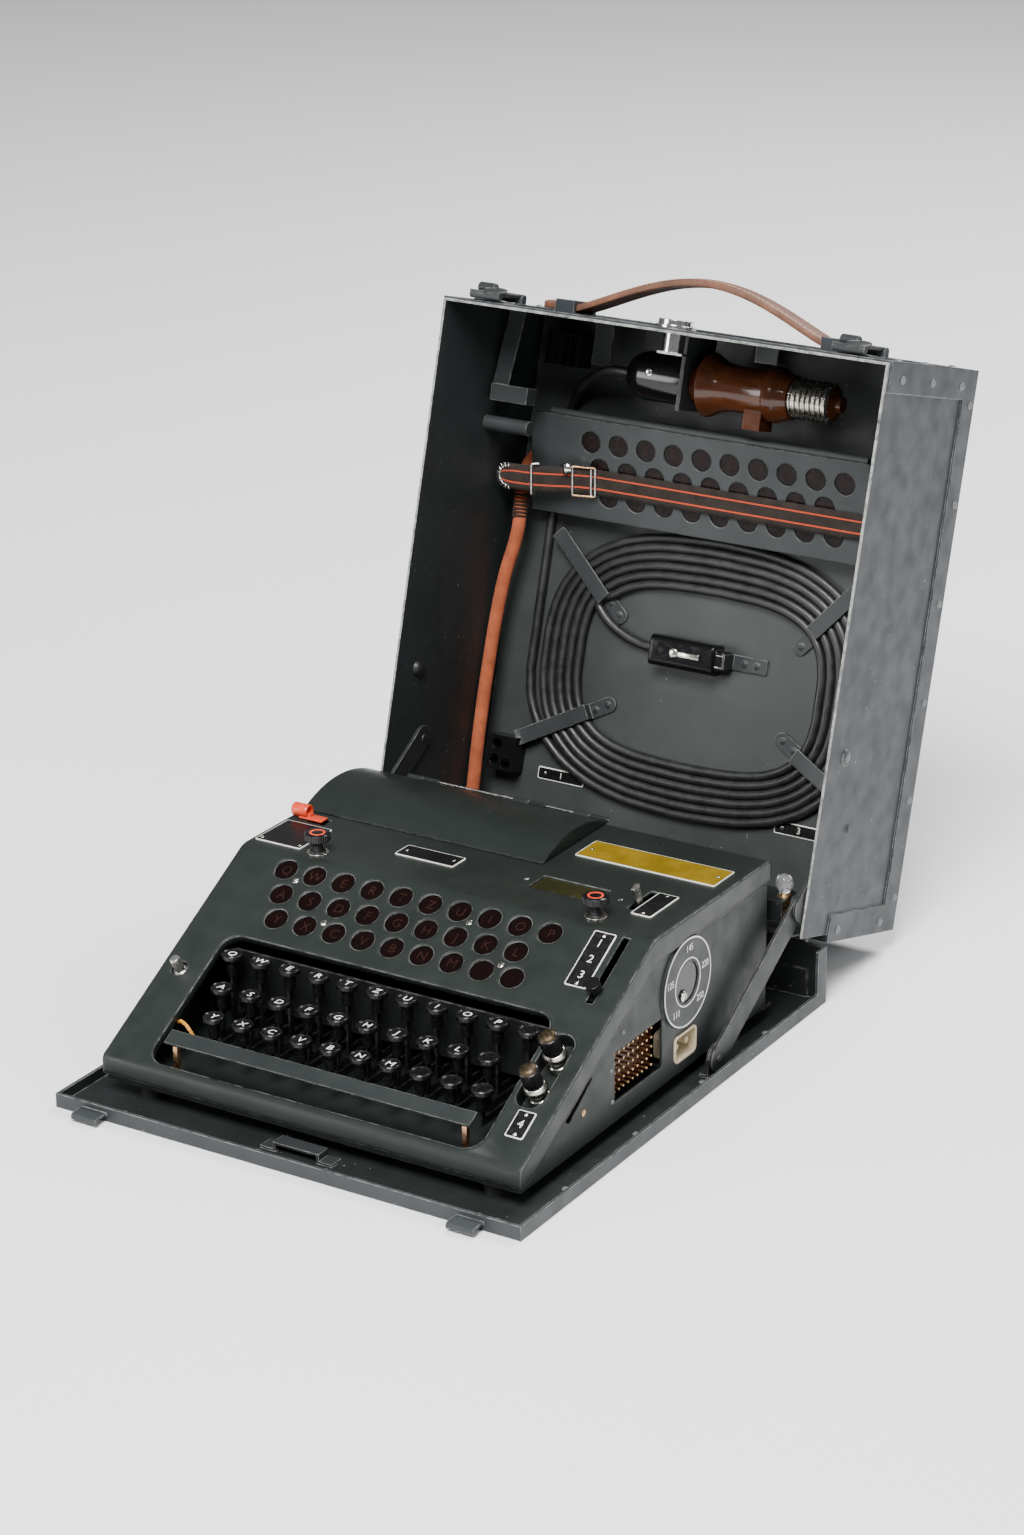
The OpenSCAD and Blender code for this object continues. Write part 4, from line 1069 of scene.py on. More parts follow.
@dataclass
class Cord:
    """A limp cord on a route through the cover, in the cover's millimetres."""

    name: str
    diameter: float
    route: Sequence[Point]
    finish: Finish
    lay: Lay

    def draw(self) -> bpy.types.Object:
        """Sweep the cord along its route as one open spline.

        Returns:
            The cord.
        """
        curve = bpy.data.curves.new(self.name, "CURVE")
        curve.dimensions, curve.bevel_depth = "3D", self.diameter / 2 * MM
        curve.bevel_resolution, curve.resolution_u, curve.use_fill_caps = 4, 3, True
        spline = curve.splines.new("BEZIER")
        spline.bezier_points.add(len(self.route) - 1)
        for knot, point in zip(spline.bezier_points, self.route):
            knot.co = FRAMES.cover() @ Vector(point)
            knot.handle_left_type = knot.handle_right_type = "AUTO"
        curve.materials.append(self.finish.material())
        piece = bpy.data.objects.new(self.name, curve)
        bpy.context.collection.objects.link(piece)
        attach(piece, "cover")
        return piece


@dataclass
class MainsCord:
    """The mains cord: from its device plug, wound round the clips, up to the mains plug."""

    depth: float = 126.35
    diameter: float = 6.3
    plug_lead: tuple[Spot, ...] = (
        (-35.5, 151.5), (-41, 151.5), (-47, 152), (-53, 153.2), (-59, 155),
        (-65, 157.4), (-71, 160.4), (-76.5, 164.2), (-81.4, 168.8), (-84.6, 174.2),
    )
    rise_x: float = -130
    rise_heights: tuple[float, ...] = (150, 170, 190, 210, 230, 250, 268)
    upper_bend: tuple[Point, ...] = (
        (-129.5, 126.35, 284), (-128, 126, 294), (-124, 124, 303), (-117, 117.5, 312),
        (-108, 109, 319.5), (-97, 100.5, 325.5), (-86, 93, 329.5), (-76, 89, 331),
        (-70, 88, 331), (-63.4, 88, 331),
    )
    centre: Spot = (-1.5, 137.5)
    start: float = 152.0
    turns: float = 5.9
    per_turn: int = 26
    inner_half: Spot = (89.15, 57.7)
    pitch: Spot = (6.54, 6.34)
    first: Spot = (0.417, 0.167)
    squareness: Spot = (3.2, 2.55)
    slack_from: float = 5.3
    slack: float = 12.8
    ripple: float = 0.125

    def coil(self) -> list[Point]:
        """Wind the cord clockwise from the inner turn outwards.

        Returns:
            The points of the wound part.
        """
        points = []
        boxy, round_off = self.squareness[0], self.squareness[0] - self.squareness[1]
        for i in range(int(self.turns * self.per_turn) + 1):
            done = i / self.per_turn
            angle = math.radians(self.start - 360 * done)
            power = 2 / (boxy - round_off * done / self.turns)
            loose = self.slack * max(0, done - self.slack_from) ** 2
            wide = self.inner_half[0] + self.pitch[0] * (done - self.first[0]) + loose
            tall = self.inner_half[1] + self.pitch[1] * (done - self.first[1])
            c, s = math.cos(angle), math.sin(angle)
            sag = self.ripple * math.sin(3.1 * i) * math.sin(0.7 * i)
            x = self.centre[0] + wide * math.copysign(abs(c) ** power, c)
            u = self.centre[1] + tall * math.copysign(abs(s) ** power, s) + sag
            points.append((x, self.depth, u))
        return points

    def route(self) -> list[Point]:
        """Join the leads and the coil.

        Returns:
            The whole route in the cover's frame.
        """
        lead = [(x, self.depth, u) for x, u in self.plug_lead]
        rise = [(self.rise_x, self.depth, u) for u in self.rise_heights]
        return lead + self.coil()[1:] + rise + list(self.upper_bend)

    def build(self) -> None:
        """Draw the cord in place of the coil and lead solids."""
        cord = Cord("mains_cord", self.diameter, self.route(), Coat.RUBBER, Lay.COILED)
        piece = cord.draw()
        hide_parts("mains_cord_coil", "mains_cord_leads")


@dataclass
class LampCable:
    """The braided cable from the remote lamp panel down to its connector."""

    diameter: float = 9.2
    route: tuple[Point, ...] = (
        (-138.5, 115, 266), (-140.5, 115, 266), (-144.4, 114, 262.5), (-146.4, 112, 255),
        (-146.4, 110.4, 244), (-145.4, 109, 231), (-144.4, 108.5, 217), (-146, 108.5, 203),
        (-148.6, 108.5, 190), (-150.6, 108.5, 175), (-152, 108.5, 155), (-152.8, 108.5, 132),
        (-153.2, 108.5, 108), (-153.2, 108.5, 84), (-152.8, 108.5, 62), (-152.2, 108.5, 46),
        (-152, 108.5, 38), (-152, 108.5, 30),
    )
    bands: int = 10
    red_bands: tuple[int, ...] = (0, 2, 4)
    first_band: Point = (-146.3, 110.6, 245.0)
    last_band: Point = (-145.1, 108.7, 223.5)
    half_band: float = 1.25

    def build(self) -> None:
        """Draw the cable with its whipped upper end."""
        cord = Cord("lamp_cable_braid", self.diameter, self.route, Coat.BRAID, Lay.HANGING)
        piece = cord.draw()
        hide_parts("lamp_cable")
        sleeve = Workpiece("cable_whipping_bands", FRAMES.cover())
        along = Vector((0.06, -0.09, -1.0)) * self.half_band
        for i in range(self.bands):
            centre = Vector(self.first_band).lerp(Vector(self.last_band), i / (self.bands - 1))
            finish = Coat.WHIP_RED if i in self.red_bands else Coat.WHIPPING
            sleeve.rod(centre - along, centre + along, self.diameter / 2 + 0.55, finish, 0.6)
        sleeve.finish("cover")


# ---- soft and leather pieces ----


@dataclass
class CarryHandle:
    """Stitched leather strap handle between its two brackets."""

    depth: float = 62.0
    half_span: float = 91.0
    reach: float = 115.0
    rise: float = 27.0
    base: float = 365.0
    width: float = 22.5
    thick: float = 5.6
    stitch: float = 3.6
    inset: float = 2.0
    waist: float = 0.10
    crown: float = 1.1

    def height(self, x: float) -> float:
        """Find the underside's height over its brackets.

        Args:
            x: Place along the handle.

        Returns:
            The height there.
        """
        if abs(x) >= self.half_span:
            return 0.0
        return self.rise * math.cos(math.pi / 2 * x / self.half_span) ** 1.15

    def half_width(self, x: float) -> float:
        """Return half the strap's width at x: it narrows towards the grip."""
        return self.width / 2 * (1.0 - self.waist * (1 - min(1.0, abs(x) / self.half_span)))

    def build(self) -> None:
        """Shape the strap and sew both edges."""
        piece = Workpiece("leather_handle", FRAMES.cover())
        part = bmesh.new()
        bmesh.ops.create_grid(part, x_segments=72, y_segments=8, size=1)
        for vert in part.verts:
            x, y = vert.co.x * self.reach, vert.co.y
            up = self.base + 0.4 + self.height(x) + self.crown * (1 - y * y)
            vert.co = (x, self.depth + y * self.half_width(x), up)
        wall = self.thick * 0.82
        bmesh.ops.solidify(part, geom=part.faces[:], thickness=-wall)
        bmesh.ops.recalc_face_normals(part, faces=part.faces)
        rim = [e for e in part.edges if e.calc_face_angle(0) > 1.0]
        bmesh.ops.bevel(part, geom=rim, offset=0.8, segments=2, **BEVEL)
        piece.add(part, Coat.LEATHER)
        x = -self.half_span + 6
        while x < self.half_span - 6:
            ends = (x, x + self.stitch * 0.62)
            heights = [self.base + self.height(end) + wall + 0.55 for end in ends]
            for side in (-1, 1):
                v = self.depth + side * (self.half_width(x) - self.inset)
                near, far = ((end, v, up) for end, up in zip(ends, heights))
                piece.rod(near, far, 0.5, Coat.THREAD, 0.15, 6)
            x += self.stitch
        piece.finish("cover", replaces=["carry_handle"])


@dataclass
class CanvasStrap:
    """Woven strap over the remote lamp panel, with its ferrule, slider and buckle."""

    half_width: float = 8.75
    middle: float = -42.25
    thick: float = 1.5
    columns: int = 6
    line: tuple[Spot, ...] = (
        (158.0, 0.9), (100, 0.9), (40, 0.9), (-20, 0.9), (-60, 0.9), (-84, 1.3), (-92, 2.2),
        (-100, 4.0), (-109, 7.6), (-118, 11.4), (-126, 14.2), (-134, 15.9), (-143, 16.9),
        (-149.5, 17.3), (-153.5, 17.4),
    )
    ferrule_x: float = -146.5
    slider_x: float = -129.0
    buckle: Spot = (-103.0, -87.5)
    stud_x: float = -107.0

    def taper(self, x: float) -> float:
        """Return half the tape's width at x, where its end is folded to a point."""
        return self.half_width * (1.0 if x > -147 else 0.82 if x > -151 else 0.45)

    def tape(self, place: Matrix) -> None:
        """Weave the tape as one sheet with its own UV map.

        Args:
            place: The lamp panel's frame.
        """
        part = bmesh.new()
        run = [0.0]
        for a, b in zip(self.line, self.line[1:]):
            run.append(run[-1] + math.hypot(b[0] - a[0], b[1] - a[1]))
        across = [k / self.columns for k in range(self.columns + 1)]
        rows = [
            [part.verts.new((x, self.middle + self.taper(x) * (2 * share - 1), h)) for share in across]
            for x, h in self.line
        ]
        uv = part.loops.layers.uv.new("UVMap")
        for i, (near, far) in enumerate(zip(rows, rows[1:])):
            for k in range(self.columns):
                face = part.faces.new((near[k], near[k + 1], far[k + 1], far[k]))
                for loop, (r, c) in zip(face.loops, ((i, k), (i, k + 1), (i + 1, k + 1), (i + 1, k))):
                    loop[uv].uv = (run[r] / run[-1], across[c])
        mesh = bpy.data.meshes.new("strap_tape")
        bmesh.ops.transform(part, matrix=place, verts=part.verts)
        part.to_mesh(mesh)
        part.free()
        tape = bpy.data.objects.new("strap_tape", mesh)
        bpy.context.collection.objects.link(tape)
        wall = tape.modifiers.new("thickness", "SOLIDIFY")
        wall.thickness, wall.offset = self.thick * MM, 0
        mesh.materials.append(Coat.TAPE.material())
        mesh.shade_smooth()
        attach(tape, "cover")
        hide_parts("strap")

    def metal(self, place: Matrix) -> None:
        """Fit the scalloped ferrule, the wire slider, the buckle and the stud.

        Args:
            place: The lamp panel's frame.
        """
        metal = Workpiece("strap_metal", place)
        low, high = self.middle - self.half_width, self.middle + self.half_width
        for step in range(10):
            turn = Matrix.Rotation(math.radians(90 + 20 * step), 4, "Z")
            at = Matrix.Translation((self.ferrule_x, self.middle, 17.3)) @ turn
            metal.box((6.0, -1.2, -1.5), (9.4, 1.2, 1.5), Coat.CHROME, 0.5, at)
        x, corner = self.slider_x, (self.slider_x, low - 1.6, 16.8)
        for start, end in (
            (corner, (x, high + 1.6, 16.8)),
            ((x, high + 1.6, 16.8), (x + 5, high + 2.2, 14.6)),
            (corner, (x, low - 1.6, 12.0)),
        ):
            metal.rod(start, end, 0.9, Coat.STEEL)
        left, right = self.buckle
        for x, h in ((right - 3.0, 3.4), (right, 3.0)):
            metal.rod((x, low - 1.0, h), (x, high + 1.4, h), 0.85, Coat.STEEL)
        for y in (low - 1.0, high + 1.4):
            metal.rod((left, y, 6.6), (right, y, 3.0), 0.85, Coat.COPPER)
        metal.rod((left, low - 1.0, 6.6), (left, high + 1.4, 6.6), 0.85, Coat.STEEL)
        stud = Matrix.Translation((self.stud_x, high - 0.5, 8.4))
        metal.turned([(0, -1.5), (4.2, -1.5), (4.2, 0.6), (3.0, 1.8), (0, 2.3)], Coat.CHROME, stud, 24)
        metal.finish("cover")

    def build(self) -> None:
        """Weave the tape and fit its metal parts."""
        self.tape(FRAMES.lamp_face())
        self.metal(FRAMES.lamp_face())


# ---- plates, letters and small parts ----


@dataclass
class NamePlate:
    """A small riveted plate with a white edge, bare or with plain figures."""

    name: str
    place: Matrix
    centre: Spot
    size: Spot
    face: Finish = Coat.PLATE_BLACK
    marks: tuple[tuple[str, float, float], ...] = ()
    holes: tuple[Spot, ...] = ()
    body: str = "case"
    thick: float = 0.7
    edge: float = 0.7

    def build(self) -> None:
        """Make the plate with its edge, marks and screws."""
        piece = Workpiece(self.name, self.place @ Matrix.Translation((*self.centre, 0)))
        w, h = self.size
        piece.plate((w, h), self.thick, 1.2, Coat.PLATE_WHITE)
        piece.plate((w - 2 * self.edge, h - 2 * self.edge), 0.12, 0.8, self.face, self.thick - 0.04)
        for words, y, size in self.marks:
            piece.text(words, (0, y, self.thick + 0.09), size, Coat.PLATE_WHITE, 0.04)
        for x, y in self.holes:
            piece.slotted_screw((x, y, self.thick + 0.06), 1.25, Coat.NICKEL, 0.5, 40)
        piece.finish(self.body)


@dataclass
class Lettering:
    """Letters of the keyboard and of both lamp panels."""

    rows: tuple[str, ...] = ("QWERTZUIOP", "ASDFGHJKL", "YXCVBNM")
    first_x: float = -107.0
    pitch: float = 21.0
    row_step: float = 7.0
    key_rows: tuple[float, ...] = (92.2, 67.8, 46.6)
    lamp_rows: tuple[float, ...] = (159.6, 141.3, 123.1)
    box_rows: tuple[float, ...] = (15.6, 33.6, 51.6)
    box_shift: float = 14.0
    window_radius: float = 7.45

    def build(self) -> None:
        """Write on the keys and on the lamp discs."""
        lamps = Workpiece("lamp_letters", FRAMES.panel())
        remote = Workpiece("remote_lamp_letters", FRAMES.lamp_face())
        for row, letters in enumerate(self.rows):
            for col, letter in enumerate(letters):
                x = self.first_x + self.row_step * row + self.pitch * col
                lamps.text(letter, (x, self.lamp_rows[row], -0.88), 9.0, Coat.FAINT, 0.05)
                there = (x + self.box_shift, -self.box_rows[row], -0.98)
                remote.text(letter, there, 9.0, Coat.FAINT, 0.05)
                top = FRAMES.panel() @ Vector((x, self.key_rows[row], 0))
                name = f"key_{letter.lower()}"
                cap = Workpiece(f"{name}_letter", Matrix.Translation(top) @ WORLD)
                cap.text(letter, (0, 0, -0.74), 7.6, Coat.INK, 0.12, bold=0.02)
                cap.finish(name)
        lamps.finish("case")
        remote.finish("cover")

    def in_window(self, p: Vector) -> bool:
        """Tell whether a point lies in one of the remote panel's lamp discs.

        Args:
            p: The point in the lamp panel's frame.

        Returns:
            Whether it does.
        """
        for row, s in enumerate(self.box_rows):
            x = self.first_x + self.box_shift + self.row_step * row
            col = round((p.x - x) / self.pitch)
            if math.hypot(p.x - x - col * self.pitch, p.y + s) < self.window_radius:
                return True
        return False


@dataclass
class VoltageDisc:
    """White rings and plain volt figures round the dial."""

    centre: Spot = (33.0, 69.0)
    rings: tuple[tuple[float, float, int], ...] = ((27.2, 28.1, 96), (14.6, 15.4, 80))
    figures: tuple[tuple[str, float], ...] = (
        ("125", 166), ("145", 85), ("220", 11), ("250", -45), ("110", 230)
    )
    figure_radius: float = 21.4
    screw: Spot = (-4.6, -7.5)

    def build(self) -> None:
        """Draw the disc's rings, figures and screw."""
        piece = Workpiece("voltage_scale", FRAMES.right_side())
        y, z = self.centre
        for inner, outer, segments in self.rings:
            piece.ring((y, z, 0), inner, outer, -0.02, 0.10, Coat.INK, segments)
        for words, angle in self.figures:
            a = math.radians(angle)
            at = (y + self.figure_radius * math.cos(a), z + self.figure_radius * math.sin(a), 0.02)
            piece.text(words, at, 6.2, Coat.INK, 0.08, 0.9)
        piece.finish("case")
        dial = Workpiece("dial_screw", FRAMES.right_side())
        dial.slotted_screw((y + self.screw[0], z + self.screw[1], -0.1), 3.6, Coat.NICKEL, 1.2, 60)
        dial.finish("voltage_dial")


@dataclass
class Terminals:
    """The knurled thumb screws, terminal nuts and push pin."""

    thumbs: tuple[Spot, ...] = ((-97.7, 2.8), (98.8, 6.0))
    terminal_x: float = 127.0
    terminal_s: Spot = (55.5, 80.0)
    push_pin: Spot = (-134.1, 72.3)
    thumb_stem: tuple[Spot, ...] = (
        (0, -12), (3, -12), (3, 0), (5, 1.0), (5, 2.0), (3.4, 2.8), (3.4, 5), (5, 7), (7.6, 8.6)
    )
    terminal_foot: tuple[Spot, ...] = (
        (0, -12), (6, -12), (6.6, -11), (6.6, -7), (5.6, -6.4), (5.6, -3), (6.8, -2.6),
        (7.3, -1.6), (7.3, 1.2), (6.6, 2.2), (6.2, 3.4), (5.2, 3.8), (0, 3.8),
    )
    terminal_top: tuple[Spot, ...] = ((5.2, 16.9), (5.0, 17.6), (4.2, 18.4), (2.4, 18.8), (0, 18.9))
    pin: tuple[Spot, ...] = (
        (0, -8), (4.4, -8), (4.4, -1), (3.2, -0.6), (3.2, 8.6), (2.6, 9.8), (1.4, 10), (0, 9.6)
    )

    def knurl(
        self, piece: Workpiece, radius: float, low: float, high: float, at: Matrix, count: int
    ) -> None:
        """Add a knurled barrel: a turned core with a ridge for each tooth.

        Args:
            piece: The piece that gets it.
            radius: The barrel's radius.
            low: Height of its underside.
            high: Height of its top.
            at: From the barrel's frame to the piece's.
            count: Teeth round it.
        """
        core = radius - 0.2
        profile = [(0, low), (radius - 0.5, low), (core, low + 0.3), (core, high - 0.3)]
        piece.turned(profile + [(radius - 0.6, high), (0, high)], Coat.BLACK, at, 36)
        low_corner, high_corner = (radius - 0.5, -0.22, low + 0.5), (radius + 0.12, 0.22, high - 0.5)
        for i in range(count):
            turn = at @ Matrix.Rotation(2 * math.pi * i / count, 4, "Z")
            piece.box(low_corner, high_corner, Coat.BLACK, 0.0, turn)

    def build(self) -> None:
        """Turn all knobs that stand for the solids."""
        piece = Workpiece("knobs_and_terminals")
        for x, y in self.thumbs:
            foot = (x, y, FRAMES.top_z)
            at = Matrix.Translation(foot)
            piece.turned(self.thumb_stem, Coat.BLACKED, at)
            self.knurl(piece, 8.0, 8.6, 13.6, at, 34)
            piece.ring(foot, 5.0, 6.9, 0, 1.0, Coat.NICKEL, 36)
            piece.ring(foot, 3.6, 5.0, 13.5, 13.75, Coat.SIGNAL_RED, 36)
        slope = WORLD.inverted() @ FRAMES.panel()
        for s in self.terminal_s:
            at = slope @ Matrix.Translation((self.terminal_x, s, 0))
            piece.turned(self.terminal_foot, Coat.NICKEL, at)
            self.knurl(piece, 5.9, 3.6, 17.0, at, 26)
            piece.turned(self.terminal_top, Coat.WORN_BRASS, at)
        piece.turned(self.pin, Coat.STEEL, slope @ Matrix.Translation((*self.push_pin, 0)))
        piece.finish("case", replaces=["knurled_knobs"])


@dataclass
class SmallParts:
    """Screws, plug fittings, the fuse holder, latch leaves and the loose wire."""

    lamp_screws: tuple[Spot, ...] = ((-96.5, 153.3), (-61.5, 128.4), (28.7, 153.5), (63.6, 129.9))
    top_screws: tuple[Spot, ...] = ((34, 34), (99, 35))
    side_screws: tuple[Spot, ...] = ((-53.9, 46.1), (-52.6, 25.6), (-40.2, 65.4))
    copper_screw: Spot = (-85.6, 32.7)
    side_depth: float = -1.8
    fuse: Spot = (-90.5, 44.4)
    fuse_turn: float = 35.0
    device_plug: Spot = (-17.2, 151.5)
    device_face: float = 114.4
    mains_plug: Spot = (-42, 333.5)
    mains_face: float = 71.7
    latch_x: float = 131.0
    wire_route: tuple[Point, ...] = (
        (-118, -118, 40), (-114, -121, 43), (-109, -123, 42.5), (-105, -124, 39.5), (-103, -123, 35)
    )

    def screws(self) -> None:
        """Set the machine's visible screw heads."""
        piece = Workpiece("panel_screws")
        into = WORLD.inverted() @ FRAMES.panel()
        for number, (x, s) in enumerate(self.lamp_screws):
            seat = into @ Matrix.Translation((x, s, 0))
            piece.turned([(0, 0), (2.1, 0), (2.1, 0.25), (1.6, 0.55), (0, 0.6)], Coat.NICKEL, seat, 20)
            slot = seat @ Matrix.Rotation(math.radians(40 + 50 * number), 4, "Z")
            piece.box((-1.7, -0.25, 0.4), (1.7, 0.25, 0.66), Coat.BLACKED, 0.0, slot)
        for x, y in self.top_screws:
            piece.slotted_screw((x, y, FRAMES.top_z), 1.7, Coat.CHROME, 0.6)
        side = WORLD.inverted() @ FRAMES.right_side()
        for y, z in self.side_screws:
            seat = side @ Matrix.Translation((y, z, self.side_depth))
            piece.turned([(0, 0), (1.5, 0), (1.5, 0.3), (1.0, 0.7), (0, 0.8)], Coat.RIVET, seat, 18)
        seat = side @ Matrix.Translation((*self.copper_screw, self.side_depth))
        piece.turned([(0, 0), (2.2, 0), (2.2, 0.4), (1.6, 0.9), (0, 1.0)], Coat.COPPER, seat, 20)
        piece.finish("case")

    def fuse_holder(self) -> None:
        """Place the red fuse holder behind its slot."""
        turn = Matrix.Rotation(math.radians(self.fuse_turn), 4, "Z")
        place = FRAMES.right_side() @ Matrix.Translation((*self.fuse, -5)) @ turn
        piece = Workpiece("fuse_holder", place)
        piece.box((-19, -5.5, -2), (19, 5.5, 0), Coat.PIN_RED, 0.4)
        for x in (-11, -4, 3, 10):
            piece.box((x, -0.6, 0), (x + 4.5, 0.6, 0.3), Coat.CREAM, 0.1)
        piece.finish("case")

    def plug_fittings(self) -> None:
        """Fit the metal parts of both plugs."""
        piece = Workpiece("device_plug_metal", FRAMES.facing(self.device_face))
        at = Matrix.Translation((*self.device_plug, 0))
        piece.turned([(0, 0), (3.3, 0), (3.3, 0.5), (2.4, 0.9), (0, 1.0)], Coat.NICKEL, at, 24)
        piece.box((-13.6, 149.7, 0), (2.2, 153.3, 0.6), Coat.NICKEL, 0.25)
        for u in (147.2, 155.0):
            piece.box((13.6, u, -4), (20.0, u + 0.9, -1.2), Coat.STEEL, 0.3)
        piece.box((19.1, 147.2, -4), (20.0, 155.9, -1.2), Coat.STEEL, 0.3)
        piece.finish("cover")
        screw = Workpiece("mains_plug_screw", FRAMES.facing(self.mains_face))
        screw.slotted_screw((*self.mains_plug, 0), 2.7, Coat.CHROME, 0.8, 70)
        screw.finish("cover")

    def leaf(self, side: float) -> None:
        """Put the rolled grip and the thumb leaf on one latch.

        Args:
            side: 1 for the right latch, -1 for the left.
        """
        name = "latch_right" if side > 0 else "latch_left"
        piece = Workpiece(f"{name}_grip", FRAMES.cover())
        x = side * self.latch_x
        piece.rod((x - 10.6, 12, 373.2), (x + 2.5, 12, 373.2), 3.4, Coat.FITTING, 0.8)
        part = bmesh.new()
        bmesh.ops.create_uvsphere(part, u_segments=24, v_segments=12, radius=1)
        bmesh.ops.scale(part, vec=(8.5, 8.0, 1.1), verts=part.verts)
        tilt = Matrix.Rotation(math.radians(14), 4, "X")
        piece.add(part, Coat.FITTING, Matrix.Translation((x + 4.0, 7.2, 371.9)) @ tilt)
        piece.finish(name)

    def wire(self) -> None:
        """Lay the loose yellow wire beside the keyboard."""
        piece = Workpiece("loose_wire")
        for a, b in zip(self.wire_route, self.wire_route[1:]):
            piece.rod(a, b, 1.1, Coat.WIRE, 0.4, 10)
        piece.finish("case")

    def build(self) -> None:
        """Make all small parts."""
        self.screws()
        self.fuse_holder()
        self.plug_fittings()
        for side in (-1.0, 1.0):
            self.leaf(side)
        self.wire()


@dataclass
class ReleaseLever:
    """The red release lever: a rolled grip on a flat tail."""

    roll: Spot = (46.0, 116.0)
    span: Spot = (-145.0, -133.5)
    radius: float = 4.3
    wall: float = 1.1

    def build(self) -> None:
        """Roll the grip and run its tail under the rotor cover."""
        piece = Workpiece("release_lever_red")
        turn = Matrix.Translation((self.span[0], *self.roll)) @ Matrix.Rotation(math.radians(90), 4, "Y")
        length, r, inner = self.span[1] - self.span[0], self.radius, self.radius - self.wall
        near = [(inner, 0), (r - 0.3, 0), (r, 0.4)]
        far = [(r, length - 0.4), (r - 0.3, length), (inner, length), (inner, 0)]
        piece.turned(near + far, Coat.SIGNAL_RED, turn, 40)
        piece.box((-139.5, 42.2, 111.7), (-122.2, 49.8, 112.9), Coat.SIGNAL_RED, 0.3)
        piece.box((-137.5, 44.0, 112.2), (-132.0, 49.0, 115.0), Coat.SIGNAL_RED, 0.8)
        piece.finish("release_lever", replaces=["release_lever"])


# ---- the solids' finishes ----


def near(p: float, *places: float) -> float:
    """Return the distance from a coordinate to the nearest of some places."""
    return min(abs(p - place) for place in places)


